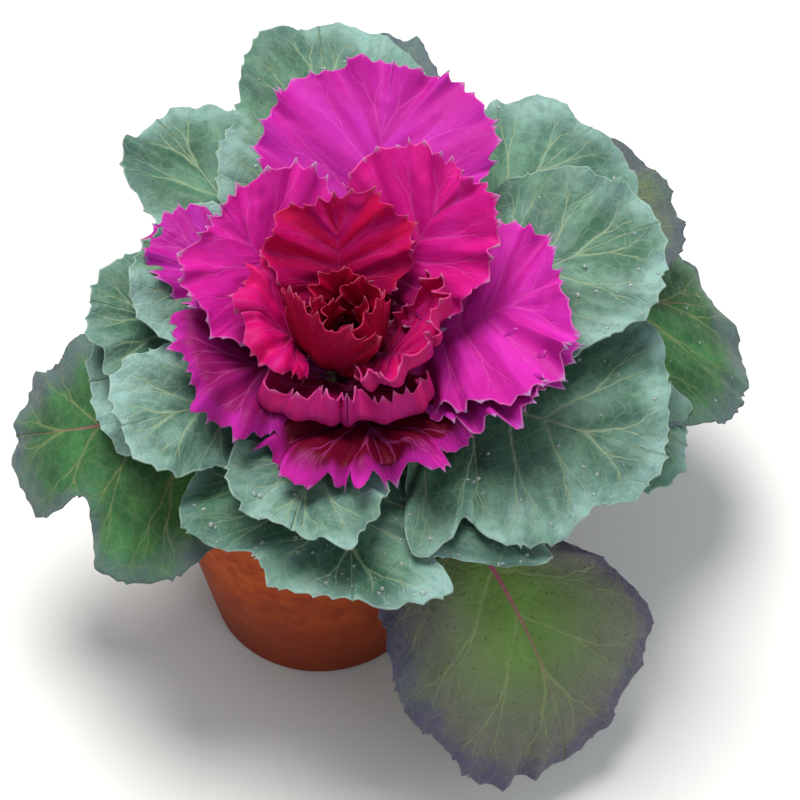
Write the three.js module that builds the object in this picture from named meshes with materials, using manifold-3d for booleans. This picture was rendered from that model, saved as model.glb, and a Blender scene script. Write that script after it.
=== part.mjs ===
// Flowering cabbage in a terracotta pot.
//
// Units are millimetres, +Z is up. The origin is the middle of the pot's flat
// base. The plant is seen from -Y, where its open heart leans towards.
//
// Every leaf lies on a shell: a surface of revolution about the plant's own
// axis, whose section is an arc. The arc starts at the stem, at some height
// and rise, and bends as it goes out. An outer leaf starts low and bends down
// over the pot's rim, and an inner one starts high and stands up. Shells that
// are ordered in this way sit inside each other like bowls, so the leaves
// pass each other as they do on the plant.

import * as THREE from 'three';
import { mergeVertices } from 'three/addons/utils/BufferGeometryUtils.js';
import Module from 'manifold-3d';

const wasm = await Module();
wasm.setup();

// Driving dimensions

const GAP = 0.3;                    // left between pieces that touch

const POT_HEIGHT = 112;
const POT_BASE_RADIUS = 47;         // outside, at the ground
const POT_NECK_RADIUS = 61;         // outside, just under the collar
const POT_RIM_RADIUS = 66;          // outside, at the top
const COLLAR_HEIGHT = 20;
const COLLAR_STEP = 3;              // how far the collar stands out
const POT_WALL = 5;
const POT_FLOOR = 6;
const POT_ROUNDING = 2;             // at the rim and round the base
const POT_SEGMENTS = 48;
const DRAIN_RADIUS = 5;
const DRAIN_CIRCLE = 24;            // drain holes stand this far from the middle
const DRAIN_COUNT = 3;
const DRAIN_TURN = 0.25;            // of the way from one hole to the next, off the +X axis
const DRAIN_SEGMENTS = 16;

const SOIL_LEVEL = 99;              // at the pot's wall
const SOIL_CROWN = 3;               // how much higher the soil is at the stem
const SOIL_SEGMENTS = 36;

const PLANT_POSITION = [13, 7, 121];  // where the lowest leaf leaves the stem
const PLANT_LEAN_FRONT = 13;          // degrees, towards -Y
const PLANT_LEAN_SIDE = 2;            // degrees, towards +X

const STEM_TOP = 40;                // along the plant's axis
const STEM_BOTTOM = -50;
const STEM_RADIUS = 9.5;            // at the lowest leaf
const STEM_TOP_RADIUS = 5;
const ROOT_RADIUS = 4;              // at the bottom, inside the soil
const STEM_SEGMENTS = 16;

const BUD_RADIUS = 4.5;
const BUD_HEIGHT = 11;
const BUD_STEPS = 8;                // from its foot to its top

const LEAF_COLUMNS = 11;            // from the stem to the tip, along one side
const LEAF_ROWS = 2;                // from the midrib to the margin
const SHAPED_ROWS = 4;              // the same, where the blade has a knee or a lip
const LIP_ROW = 2;                  // the row at the lip's start
const SECTION_PIECES = 40;          // straight pieces that stand for a shell's section
const FAN_CENTRE = 12;              // side veins spread from this far inside the stem
const BEND_LENGTH = 160;            // the shell's outer rise is given this far out
const STALK_LENGTH = 0.2;           // as a share of the leaf's length
const STALK_COLUMNS = 0.16;         // as a share of the columns
const STALK_HALF_WIDTH = 4.5;
const STALK_HALF_SHARE = 0.16;      // at most, as a share of the leaf's width
const STALK_SLIMMEST = 0.75;        // where it meets the blade
const BLADE_ROUNDNESS = 0.8;        // 1 is an ellipse, less is squarer
const BLADE_HEAVY_TIP = 0.15;       // how much wider the outer half is
const MIDRIB_LENGTH = 0.72;         // how far the last vein's start is along most blades
const VEIN_CROWDING = 1.35;         // above 1, the veins start closer near the stalk
const SWAY_CURVE = 1.5;             // above 1, a leaf turns mostly in its outer half
const LOBE_LEAST_REACH = 3;         // veins shorter than this hardly move a lobe
const LIP_FADE = 3;                 // a lip fades out over the last 1/3 next to the stalk

// Shells, from the outermost leaf to the innermost. Each line holds the level,
// the height on the stem, the rise at the stem and the rise at BEND_LENGTH, in
// degrees. A leaf's own level may lie between two lines.
const SHELLS = [
  [-0.10, -5, 12, -84],
  [0.00, 1, 14, -75],
  [0.12, 8, 16, -45],
  [0.25, 14, 24, -15],
  [0.40, 20, 36, 8],
  [0.55, 26, 50, 24],
  [0.70, 31, 63, 42],
  [0.85, 36, 74, 62],
  [1.00, 40, 84, 80],
];

// Leaves, from the outside in. Angle is counted from +X towards +Y, and
// length and width are along the surface. These change a leaf's shape:
// more lifts the rise off the shell, at the stem and at the far end.
// sway turns the leaf on its way out, in degrees.
// midrib is its own MIDRIB_LENGTH, so its veins spread from nearer the stalk.
// round is the least radius of its crosswise curl.
// knee turns the rise: how far out, by how many degrees, over what length.
// lip folds the margin: its width, how many degrees inwards, and the radius.
// lobes move the margin out or in: where it is from the tip, 0, to the stalk,
// 1 on one side and -1 on the other, by how much, and how wide.
const OLD = { name: 'old_leaf', colour: 0x6d8a4a, roughness: 0.6, thickness: 1.2 };
const GREEN = { name: 'green_leaf', colour: 0x6f9a7c, roughness: 0.55, thickness: 1.2 };
const MAGENTA = { name: 'magenta_leaf', colour: 0xc2187f, roughness: 0.5, thickness: 0.8 };
const HEART = { name: 'heart_leaf', colour: 0xa80c3c, roughness: 0.5, thickness: 0.8 };

const LEAVES = [
  { kind: OLD, angle: 118, level: -0.08, length: 132, width: 84 },
  { kind: OLD, angle: 64, level: -0.05, length: 138, width: 84 },
  { kind: OLD, angle: 154, level: -0.03, length: 96, width: 66 },
  { kind: OLD, angle: -52, level: 0.02, length: 178, width: 108, more: [8, 10], sway: -3,
    lobes: [[-0.52, -26, 0.09], [-0.32, 7, 0.08], [0.05, 5, 0.15], [0.38, -4, 0.20]] },
  { kind: OLD, angle: 200, level: 0.04, length: 150, width: 118, more: [15, -4], sway: -18,
    lobes: [[-0.12, -10, 0.08], [-0.31, -32, 0.09], [-0.62, 18, 0.14], [0.30, -27, 0.22]] },
  { kind: OLD, angle: 22, level: 0.07, length: 186, width: 116, more: [0, 18] },
  { kind: OLD, angle: 41, level: 0.10, length: 170, width: 84, more: [0, 26] },
  { kind: OLD, angle: 88, level: 0.14, length: 172, width: 72, more: [0, 22] },
  { kind: GREEN, angle: -6, level: 0.13, length: 138, width: 60 },
  { kind: GREEN, angle: 184, level: 0.135, length: 92, width: 68, more: [4, 10] },
  { kind: GREEN, angle: 124, level: 0.17, length: 140, width: 66, more: [0, 14],
    lobes: [[-0.35, -7, 0.20]] },
  { kind: GREEN, angle: -88, level: 0.17, length: 97, width: 124, more: [4, 14],
    lobes: [[-0.23, -22, 0.045], [-0.36, 12, 0.07], [0.27, -22, 0.12], [0.58, 4, 0.12]] },
  { kind: GREEN, angle: 168, level: 0.20, length: 96, width: 66, more: [0, 16],
    lobes: [[-0.20, -5, 0.04]] },
  { kind: GREEN, angle: 49, level: 0.22, length: 150, width: 88, more: [0, 3] },
  { kind: GREEN, angle: -20, level: 0.245, length: 122, width: 120,
    lobes: [[0.70, 20, 0.08], [0.56, -9, 0.03], [0.36, -8, 0.12], [0.19, -14, 0.11], [-0.50, -8, 0.25]] },
  { kind: GREEN, angle: 95, level: 0.26, length: 154, width: 86,
    lobes: [[-0.30, -7, 0.15], [-0.66, 9, 0.12]] },
  { kind: GREEN, angle: 205, level: 0.275, length: 89, width: 56, more: [0, 6] },
  { kind: GREEN, angle: 153, level: 0.315, length: 85, width: 60 },
  { kind: GREEN, angle: -103, level: 0.32, length: 84, width: 58,
    lobes: [[0.14, -5, 0.15], [-0.16, 7, 0.05]] },
  { kind: GREEN, angle: 22, level: 0.325, length: 126, width: 80 },
  { kind: MAGENTA, angle: -4, level: 0.365, length: 84, width: 42, more: [-3, -7] },
  { kind: MAGENTA, angle: 148, level: 0.38, length: 86, width: 38, more: [-6, -9] },
  { kind: MAGENTA, angle: -76, level: 0.39, length: 67, width: 77, more: [4, 4], midrib: 0.45,
    lip: [10, -60, 4] },
  { kind: MAGENTA, angle: -24, level: 0.44, length: 84, width: 40, more: [-1, 2] },
  { kind: MAGENTA, angle: 200, level: 0.46, length: 70, width: 70, more: [0, -3], midrib: 0.4,
    lip: [11, -70, 6], lobes: [[-0.80, -19, 0.22]] },
  { kind: MAGENTA, angle: 81, level: 0.50, length: 112, width: 88, more: [-7, -10] },
  { kind: MAGENTA, angle: 4, level: 0.53, length: 88, width: 88, more: [-8.5, -8],
    lobes: [[-0.35, -8, 0.20], [0.86, -9, 0.15]] },
  { kind: MAGENTA, angle: 142, level: 0.58, length: 72, width: 76, more: [-4.5, -12] },
  { kind: MAGENTA, angle: -89, level: 0.60, length: 53, width: 81, more: [-14, 0], knee: [20, -12, 12],
    midrib: 0.3, lip: [14, 100, 4], round: 55, lobes: [[-0.88, -6, 0.12], [0.88, 1, 0.12]] },
  { kind: MAGENTA, angle: 48, level: 0.62, length: 83, width: 66, more: [-3, 0] },
  { kind: MAGENTA, angle: 189, level: 0.67, length: 54, width: 56, more: [-8.3, -10], knee: [12, 12, 8],
    midrib: 0.4, lip: [9, -80, 6], lobes: [[-0.72, -14, 0.20], [0.74, -12, 0.20]] },
  { kind: MAGENTA, angle: -30, level: 0.70, length: 57, width: 60, more: [-8, 0], round: 44,
    midrib: 0.4, lip: [9, 60, 5], lobes: [[-0.70, -7, 0.22], [0.80, -16, 0.22]] },
  { kind: MAGENTA, angle: 98, level: 0.74, length: 59, width: 57, more: [-8, -4] },
  { kind: HEART, angle: -122, level: 0.78, length: 48, width: 42, more: [-13, 0], knee: [18, 42, 10],
    midrib: 0.4, round: 26, lobes: [[-0.80, -6, 0.24], [0.80, -5, 0.20]] },
  { kind: HEART, angle: 110, level: 0.81, length: 32, width: 24 },
  { kind: HEART, angle: -42, level: 0.83, length: 40, width: 26, more: [-16, 0], knee: [10, 42, 10],
    round: 18 },
  { kind: HEART, angle: 190, level: 0.86, length: 29, width: 20 },
  { kind: HEART, angle: 56, level: 0.885, length: 30, width: 18 },
  { kind: HEART, angle: -85, level: 0.92, length: 20, width: 15 },
  { kind: HEART, angle: 150, level: 0.955, length: 20, width: 12 },
  { kind: HEART, angle: 20, level: 0.99, length: 20, width: 11 },
];

const TERRACOTTA = { colour: 0xa04a2c, roughness: 0.85 };
const SOIL = { colour: 0x3a2a1e, roughness: 0.95 };
const STEM = { colour: 0x9aa878, roughness: 0.6 };

const radians = THREE.MathUtils.degToRad;

function piece(name, geometry, { colour, roughness }) {
  const material = new THREE.MeshStandardMaterial({ color: colour, roughness, metalness: 0 });
  const mesh = new THREE.Mesh(geometry, material);
  mesh.name = name;
  return mesh;
}

// Solids for cutting and joining

function solid(geometry) {
  const bare = geometry.clone();
  bare.deleteAttribute('normal');
  bare.deleteAttribute('uv');
  const merged = mergeVertices(bare, 1e-4);
  return new wasm.Manifold(new wasm.Mesh({
    numProp: 3,
    vertProperties: new Float32Array(merged.attributes.position.array),
    triVerts: new Uint32Array(merged.index.array),
  }));
}

function geometryOf(manifold) {
  const mesh = manifold.getMesh();
  const geometry = new THREE.BufferGeometry();
  geometry.setAttribute('position', new THREE.BufferAttribute(new Float32Array(mesh.vertProperties), 3));
  geometry.setIndex(new THREE.BufferAttribute(new Uint32Array(mesh.triVerts), 1));
  geometry.computeVertexNormals();
  return geometry;
}

// Lathe about +Z: a profile of [radius, height] from the bottom of the axis,
// round the outside, back to the top of the axis, or a loop that closes.
function turned(profile, segments) {
  const points = profile.map(([radius, height]) => new THREE.Vector2(radius, height));
  const geometry = new THREE.LatheGeometry(points, segments);
  geometry.rotateX(Math.PI / 2);
  return geometry;
}

// Shells and leaves

function shellAt(level) {
  const above = Math.max(1, SHELLS.findIndex((shell) => shell[0] >= level));
  const [low, high] = [SHELLS[above - 1], SHELLS[above]];
  const share = (level - low[0]) / (high[0] - low[0]);
  return low.map((value, i) => value + (high[i] - value) * share);
}

function stemRadius(height) {
  return STEM_RADIUS + (STEM_TOP_RADIUS - STEM_RADIUS) * height / STEM_TOP;
}

// How far the lobes move the margin at a place between the tip and the stalk.
function lobesAt(leaf, place) {
  const bumps = (leaf.lobes ?? []).map(([middle, size, width]) => {
    return size * Math.exp(-(((place - middle) / width) ** 2));
  });
  return bumps.reduce((sum, bump) => sum + bump, 0);
}

// One side of the outline, from the stem's end to the tip. At each step it
// gives the margin's place and the place on the midrib where that vein starts.
function outline(leaf, step, sign) {
  const stalk = STALK_LENGTH * leaf.length;
  const stalkHalf = Math.min(STALK_HALF_WIDTH, STALK_HALF_SHARE * leaf.width);
  if (step < STALK_COLUMNS) {
    const along = step / STALK_COLUMNS;
    const taper = 1 - (1 - STALK_SLIMMEST) * along;
    return { x: sign * stalkHalf * taper, y: stalk * along, spine: stalk * along, place: sign };
  }
  const past = (step - STALK_COLUMNS) / (1 - STALK_COLUMNS);
  const turn = Math.PI * past;
  const blade = leaf.length - stalk;
  const heavy = 1 - BLADE_HEAVY_TIP * Math.cos(turn);
  let x = step === 1 ? 0 : 0.5 * leaf.width * Math.sin(turn) ** BLADE_ROUNDNESS * heavy;
  if (turn < Math.PI / 2) {
    x = Math.max(x, STALK_SLIMMEST * stalkHalf);
  }
  const y = stalk + 0.5 * blade * (1 - Math.cos(turn));
  const spine = stalk + (leaf.midrib ?? MIDRIB_LENGTH) * blade * past ** VEIN_CROWDING;
  const place = sign * (1 - past);
  const longer = 1 + lobesAt(leaf, place) / Math.max(LOBE_LEAST_REACH, Math.hypot(x, y - spine));
  return { x: sign * x * longer, y: spine + (y - spine) * longer, spine, place };
}

// The shell's section under a leaf, at a length out along it.
function section(leaf, out) {
  const [, height, base, far] = shellAt(leaf.level);
  const [moreStart, moreFar] = leaf.more ?? [0, 0];
  const [kneeOut, kneeTurn, kneeLength] = leaf.knee ?? [0, 0, 1];
  const start = base + moreStart;
  const bend = (far + moreFar - start) / BEND_LENGTH;
  const riseAt = (along) => {
    const bent = THREE.MathUtils.clamp((along - kneeOut) / kneeLength, 0, 1);
    return radians(start + bend * along + kneeTurn * bent);
  };
  const piece = out / SECTION_PIECES;
  let reach = stemRadius(height) + GAP;
  let climb = height;
  for (let i = 0; i < SECTION_PIECES; i += 1) {
    const rise = riseAt((i + 0.5) * piece);
    reach += piece * Math.cos(rise);
    climb += piece * Math.sin(rise);
  }
  return { reach, climb, rise: riseAt(out) };
}

// A place on the leaf, in the plant's own frame. x and y are measured along
// the leaf laid flat, and lift is along the shell's normal, inwards.
function leafPoint(leaf, x, y, lift) {
  const out = Math.hypot(x, y + FAN_CENTRE) - FAN_CENTRE;
  const side = Math.atan2(x, y + FAN_CENTRE);
  const { reach, climb, rise } = section(leaf, out);
  const sway = radians(leaf.sway ?? 0) * Math.max(0, out / leaf.length) ** SWAY_CURVE;
  const turn = radians(leaf.angle) + sway;
  const curl = Math.max(reach, leaf.round ?? 0);
  const across = side * (out + FAN_CENTRE) / curl;
  const radius = curl - Math.sin(rise) * lift;
  const u = reach - curl + radius * Math.cos(across);
  const v = -radius * Math.sin(across);
  return [
    u * Math.cos(turn) - v * Math.sin(turn),
    u * Math.sin(turn) + v * Math.cos(turn),
    climb + Math.cos(rise) * lift,
  ];
}

// Past its start, the lip leaves the blade's surface on an arc and then goes
// on straight. It gives how far along the vein and how far off it that is, for
// a point that far past the start and that far above the lip's own surface.
function lipped([, degrees, radius], past, lift) {
  const most = radians(Math.abs(degrees));
  const turn = Math.min(past / radius, most);
  const rest = Math.max(0, past - radius * most);
  const sign = Math.sign(degrees);
  return {
    along: radius * Math.sin(turn) + rest * Math.cos(most) - sign * lift * Math.sin(turn),
    off: sign * (radius * (1 - Math.cos(turn)) + rest * Math.sin(most)) + lift * Math.cos(turn),
  };
}

// A point of the leaf's mesh, by its row between the midrib and the margin.
function leafVertex(leaf, sign, step, row, rows, lift) {
  const { x, y, spine, place } = outline(leaf, step, sign);
  const vein = Math.hypot(x, y - spine);
  const fade = Math.min(1, LIP_FADE * (1 - Math.abs(place)));
  const lip = leaf.lip ? Math.min(leaf.lip[0] * fade, 0.5 * vein) : 0;
  const flat = vein - lip;
  const startRow = lip ? LIP_ROW : rows;
  if (row <= startRow) {
    const share = flat * row / startRow / vein;
    return leafPoint(leaf, x * share, spine + (y - spine) * share, lift);
  }
  const { along, off } = lipped(leaf.lip, lip * (row - LIP_ROW) / (rows - LIP_ROW), lift);
  const share = (flat + along) / vein;
  return leafPoint(leaf, x * share, spine + (y - spine) * share, off);
}

// The leaf as a thin closed solid. Columns run along the margin from one side
// of the stalk round the tip to the other, and rows from the midrib out. The
// cells on one side are split as the mirror image of those on the other.
function leafGeometry(leaf) {
  const positions = [];
  const triangles = [];
  const rows = leaf.lip || leaf.knee ? SHAPED_ROWS : LEAF_ROWS;
  const across = rows + 1;
  const steps = [];
  for (let k = 0; k < LEAF_COLUMNS; k += 1) {
    steps.push([1, k / (LEAF_COLUMNS - 1)]);
  }
  for (let k = LEAF_COLUMNS - 2; k >= 0; k -= 1) {
    steps.push([-1, k / (LEAF_COLUMNS - 1)]);
  }
  for (const lift of [0, -leaf.kind.thickness]) {
    for (const [sign, step] of steps) {
      for (let row = 0; row <= rows; row += 1) {
        positions.push(...leafVertex(leaf, sign, step, row, rows, lift));
      }
    }
  }
  const under = steps.length * across;
  const quad = (a, b, c, d) => triangles.push(a, b, c, a, c, d);
  const tip = LEAF_COLUMNS - 1;
  for (let column = 0; column + 1 < steps.length; column += 1) {
    for (let row = 0; row < rows; row += 1) {
      const a = column * across + row;
      const b = a + across;
      const [p, q, r, s] = column < tip ? [a + 1, b + 1, b, a] : [a, a + 1, b + 1, b];
      quad(p, q, r, s);
      quad(under + p, under + s, under + r, under + q);
    }
    const rim = column * across + rows;
    quad(rim, under + rim, under + rim + across, rim + across);
  }
  for (let row = 0; row < rows; row += 1) {
    const last = (steps.length - 1) * across + row;
    quad(row, under + row, under + row + 1, row + 1);
    quad(last, last + 1, under + last + 1, under + last);
  }
  const geometry = new THREE.BufferGeometry();
  geometry.setAttribute('position', new THREE.BufferAttribute(new Float32Array(positions), 3));
  geometry.setIndex(triangles);
  const merged = mergeVertices(geometry, 1e-3);
  merged.computeVertexNormals();
  return merged;
}

// Pot, soil, stem and bud

function potInside(height) {
  const slope = (POT_NECK_RADIUS - POT_BASE_RADIUS) / (POT_HEIGHT - COLLAR_HEIGHT);
  return POT_BASE_RADIUS - POT_WALL + slope * height;
}

function potGeometry() {
  const collar = POT_HEIGHT - COLLAR_HEIGHT;
  const inside = potInside(POT_HEIGHT);
  const body = solid(turned([
    [0, 0],
    [POT_BASE_RADIUS - POT_ROUNDING, 0],
    [POT_BASE_RADIUS, POT_ROUNDING],
    [POT_NECK_RADIUS, collar],
    [POT_NECK_RADIUS + COLLAR_STEP, collar],
    [POT_RIM_RADIUS, POT_HEIGHT - POT_ROUNDING],
    [POT_RIM_RADIUS - POT_ROUNDING, POT_HEIGHT],
    [inside + POT_ROUNDING, POT_HEIGHT],
    [inside, POT_HEIGHT - POT_ROUNDING],
    [potInside(POT_FLOOR), POT_FLOOR],
    [0, POT_FLOOR],
  ], POT_SEGMENTS));
  let pot = body;
  const depth = 4 * POT_FLOOR;
  for (let i = 0; i < DRAIN_COUNT; i += 1) {
    const hole = new THREE.CylinderGeometry(DRAIN_RADIUS, DRAIN_RADIUS, depth, DRAIN_SEGMENTS);
    hole.rotateX(Math.PI / 2);
    const turn = 2 * Math.PI * (i + DRAIN_TURN) / DRAIN_COUNT;
    hole.translate(DRAIN_CIRCLE * Math.cos(turn), DRAIN_CIRCLE * Math.sin(turn), 0);
    pot = pot.subtract(solid(hole));
  }
  return geometryOf(pot);
}

// The stem and its root, with a given clearance all round.
function stemGeometry(clearance) {
  return turned([
    [0, STEM_BOTTOM - clearance],
    [ROOT_RADIUS + clearance, STEM_BOTTOM - clearance],
    [STEM_RADIUS + clearance, STEM_BOTTOM / 2],
    [STEM_RADIUS + clearance, 0],
    [STEM_TOP_RADIUS + clearance, STEM_TOP],
    [0, STEM_TOP],
  ], STEM_SEGMENTS);
}

function soilGeometry() {
  const bottom = POT_FLOOR + GAP;
  const fill = solid(turned([
    [0, bottom],
    [potInside(bottom) - GAP, bottom],
    [potInside(SOIL_LEVEL) - GAP, SOIL_LEVEL],
    [0.5 * potInside(SOIL_LEVEL), SOIL_LEVEL + 0.75 * SOIL_CROWN],
    [0, SOIL_LEVEL + SOIL_CROWN],
  ], SOIL_SEGMENTS));
  const hollow = stemGeometry(GAP);
  plant.updateMatrix();
  hollow.applyMatrix4(plant.matrix);
  return geometryOf(fill.subtract(solid(hollow)));
}

// The tight bud at the stem's top, an egg shape.
function budGeometry() {
  const profile = [];
  for (let i = 0; i <= BUD_STEPS; i += 1) {
    const turn = Math.PI * i / BUD_STEPS;
    const radius = i === 0 || i === BUD_STEPS ? 0 : BUD_RADIUS * Math.sin(turn);
    profile.push([radius, STEM_TOP + GAP + 0.5 * BUD_HEIGHT * (1 - Math.cos(turn))]);
  }
  return turned(profile, STEM_SEGMENTS);
}

// Build

const part = new THREE.Group();
const plant = new THREE.Group();
plant.position.set(...PLANT_POSITION);
plant.rotation.set(radians(PLANT_LEAN_FRONT), radians(PLANT_LEAN_SIDE), 0);

part.add(piece('pot', potGeometry(), TERRACOTTA));
part.add(piece('soil', soilGeometry(), SOIL));
part.add(plant);
plant.add(piece('stem', stemGeometry(0), STEM));
plant.add(piece('heart_bud', budGeometry(), HEART));

const counts = new Map();
for (const leaf of LEAVES) {
  const count = (counts.get(leaf.kind) ?? 0) + 1;
  counts.set(leaf.kind, count);
  const name = leaf.kind.name + '_' + String(count).padStart(2, '0');
  plant.add(piece(name, leafGeometry(leaf), leaf.kind));
}

export default part;
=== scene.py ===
# %% [markdown]
# # Flowering cabbage in a terracotta pot
#
# This lesson builds the looks of a potted flowering cabbage around a frame
# that is read from model.glb: a pot, soil, a stem, a bud and 41 plain leaves. Every
# plain leaf is replaced by a fine one that lies in the same place, with veins,
# waves, teeth and drops of water. Units are metres and +Z is up.

# %% Frame
import math
from types import SimpleNamespace

import bpy
import numpy as np
from mathutils import Euler, Matrix, Vector


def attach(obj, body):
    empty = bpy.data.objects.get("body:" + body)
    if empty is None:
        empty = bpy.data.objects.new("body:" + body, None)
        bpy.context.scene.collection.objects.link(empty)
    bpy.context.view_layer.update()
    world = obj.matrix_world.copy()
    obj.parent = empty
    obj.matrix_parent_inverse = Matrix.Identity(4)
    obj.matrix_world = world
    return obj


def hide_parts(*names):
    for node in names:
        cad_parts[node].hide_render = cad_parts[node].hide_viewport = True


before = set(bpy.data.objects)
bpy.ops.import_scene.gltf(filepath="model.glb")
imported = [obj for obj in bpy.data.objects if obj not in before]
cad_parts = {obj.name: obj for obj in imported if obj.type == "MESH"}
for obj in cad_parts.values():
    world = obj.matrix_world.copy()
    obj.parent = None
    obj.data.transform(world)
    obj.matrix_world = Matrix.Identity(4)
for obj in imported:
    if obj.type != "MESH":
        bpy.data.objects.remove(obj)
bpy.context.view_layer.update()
print("frame:", len(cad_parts), "nodes")

# %% [markdown]
# ## Camera, light and floor
#
# The plant is seen from the front and from about 49 degrees above the
# horizon, with a fairly long lens, so that the far leaves hardly shrink. The
# camera aims at a point in the middle of the rosette. It comes first because
# every later choice is judged through it.

# %% Camera
MM = 0.001
CAMERA_AIM = Vector((34.7, 0.0, 124.0)) * MM
CAMERA_DISTANCE = 0.760
CAMERA_ELEVATION = math.radians(49)
CAMERA_LENS = 86.67
CAMERA_SENSOR = 36.0

back = Vector((0, -math.cos(CAMERA_ELEVATION), math.sin(CAMERA_ELEVATION)))
bpy.ops.object.camera_add(
    location=CAMERA_AIM + back * CAMERA_DISTANCE,
    rotation=(math.pi / 2 - CAMERA_ELEVATION, 0, 0),
)
camera = bpy.context.object
camera.name = "camera"
camera.data.lens = CAMERA_LENS
camera.data.sensor_width = CAMERA_SENSOR
camera.data.clip_start = 0.05
bpy.context.scene.camera = camera
print("camera at", [round(v, 3) for v in camera.location])

# %% [markdown]
# Colours are written as sRGB hex values, as a colour picker shows them. The
# shader works in linear light, so one function turns them over. Another one
# adds a node with its settings and inputs. An input may be a number, a hex
# colour or another node, whose first output is then linked. One more starts
# an empty material.

# %% Helpers for colours and nodes
def colour(code):
    channels = [int(code[i:i + 2], 16) / 255 for i in (0, 2, 4)]
    linear = [c / 12.92 if c <= 0.04045 else ((c + 0.055) / 1.055) ** 2.4 for c in channels]
    return (*linear, 1.0)


def add_node(material, kind, settings=None, *values, **named):
    tree = material.node_tree
    node = tree.nodes.new("ShaderNode" + kind)
    for name, value in (settings or {}).items():
        setattr(node, name, value)
    sockets = [socket for socket in node.inputs if socket.enabled]
    by_name = {socket.name.replace(" ", "_"): socket for socket in reversed(sockets)}
    pairs = [*zip(sockets, values), *((by_name[name], value) for name, value in named.items())]
    for socket, value in pairs:
        if isinstance(value, str):
            value = colour(value)
        elif isinstance(value, bpy.types.Node):
            value = next(output for output in value.outputs if output.enabled)
        if isinstance(value, bpy.types.NodeSocket):
            tree.links.new(value, socket)
        else:
            socket.default_value = value
    return node


def new_material(name):
    material = bpy.data.materials.new(name)
    material.use_nodes = True
    material.node_tree.nodes.clear()
    return material


print("linear mid grey:", round(colour("808080")[0], 3))

# %% [markdown]
# The floor is a plain pale sheet, far larger than the plant. Two large soft
# lamps and an even surround give a light like a bright overcast sky, a bit
# stronger from the left, as on the plant's pot. Modelling commands work on
# the selected objects, so nothing is left selected by chance before one runs.

# %% Floor
FLOOR_SIZE = 6.0


def deselect():
    if bpy.context.object and bpy.context.object.mode != "OBJECT":
        bpy.ops.object.mode_set(mode="OBJECT")
    bpy.ops.object.select_all(action="DESELECT")


deselect()
bpy.ops.mesh.primitive_plane_add(size=FLOOR_SIZE, location=(0, 0, 0))
floor = bpy.context.object
floor.name = "floor"
paper = new_material("matt white paper")
sheet = add_node(paper, "BsdfPrincipled", None, Base_Color="f4f4f2", Roughness=0.9)
add_node(paper, "OutputMaterial", None, sheet)
floor.data.materials.append(paper)
print("floor:", FLOOR_SIZE, "m wide")

# %% [markdown]
# A lamp is a round softbox that faces the middle of the plant. The key light
# is small enough to draw the veins and the edges of the leaves, and the fill
# keeps the shaded side readable. Colours are shown as they are, without a
# film curve, because the pinks would lose their strength in one.

# %% Lamps and surround
def soft_lamp(name, place, size, power, tint):
    bpy.ops.object.light_add(type="AREA", location=place)
    lamp = bpy.context.object
    lamp.name = name
    lamp.data.shape = "DISK"
    lamp.data.size = size
    lamp.data.energy = power
    lamp.data.color = colour(tint)[:3]
    aim = CAMERA_AIM - Vector(place)
    lamp.rotation_euler = aim.to_track_quat("-Z", "Y").to_euler()


soft_lamp("key_softbox", (-0.12, 0.28, 1.45), 0.8, 21.5, "fffdf8")
soft_lamp("fill_softbox", (0.9, -0.9, 0.9), 1.0, 4.0, "f6f9ff")

world = bpy.data.worlds.new("overcast_surround")
bpy.context.scene.world = world
world.use_nodes = True
world.node_tree.nodes["Background"].inputs["Color"].default_value = colour("eef3f8")
world.node_tree.nodes["Background"].inputs["Strength"].default_value = 0.42
bpy.context.scene.view_settings.view_transform = "Standard"
print("light: 2 lamps and the surround")

# %% [markdown]
# ## Where a leaf lies
#
# Each leaf lies on a shell, a surface of revolution about the plant's own
# axis, whose section is an arc that starts at the stem. The outer shells bend
# down and the inner ones stand up, so they nest like bowls. These numbers are
# the frame's own: they put each fine leaf where the plain one is. They are in
# millimetres, and are scaled when a mesh is made.

# %% Shells
GAP = 0.3
STEM_RADIUS = 9.5
STEM_TOP_RADIUS = 5.0
STEM_TOP = 40.0
FAN_CENTRE = 12.0
BEND_LENGTH = 160.0
SECTION_STEP = 0.5
SECTION_LENGTH = 220.0
SWAY_CURVE = 1.5

PLANT = Matrix.Translation((13 * MM, 7 * MM, 121 * MM)) @ Euler(
    (math.radians(13), math.radians(2), 0), "ZYX"
).to_matrix().to_4x4()

# level, height on the stem, rise at the stem, rise 160 mm out
SHELLS = np.array([
    [-0.10, -5, 12, -84],
    [0.00, 1, 14, -75],
    [0.12, 8, 16, -45],
    [0.25, 14, 24, -15],
    [0.40, 20, 36, 8],
    [0.55, 26, 50, 24],
    [0.70, 31, 63, 42],
    [0.85, 36, 74, 62],
    [1.00, 40, 84, 80],
])


def section(leaf, out):
    """Reach from the axis, height and rise of the leaf's shell, out along it."""
    height, base, far = [np.interp(leaf.level, SHELLS[:, 0], SHELLS[:, i]) for i in (1, 2, 3)]
    start = base + leaf.more[0]
    end = far + leaf.more[1]
    knee_out, knee_turn, knee_length = leaf.knee
    line = np.arange(0, SECTION_LENGTH, SECTION_STEP)
    bent = np.clip((line - knee_out) / knee_length, 0, 1)
    rise = np.radians(start + (end - start) * line / BEND_LENGTH + knee_turn * bent)
    middle = (rise[1:] + rise[:-1]) / 2
    stem = STEM_RADIUS + (STEM_TOP_RADIUS - STEM_RADIUS) * height / STEM_TOP
    reach = stem + GAP + SECTION_STEP * np.concatenate([[0], np.cumsum(np.cos(middle))])
    climb = height + SECTION_STEP * np.concatenate([[0], np.cumsum(np.sin(middle))])
    return [np.interp(out, line, value) for value in (reach, climb, rise)]


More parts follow.
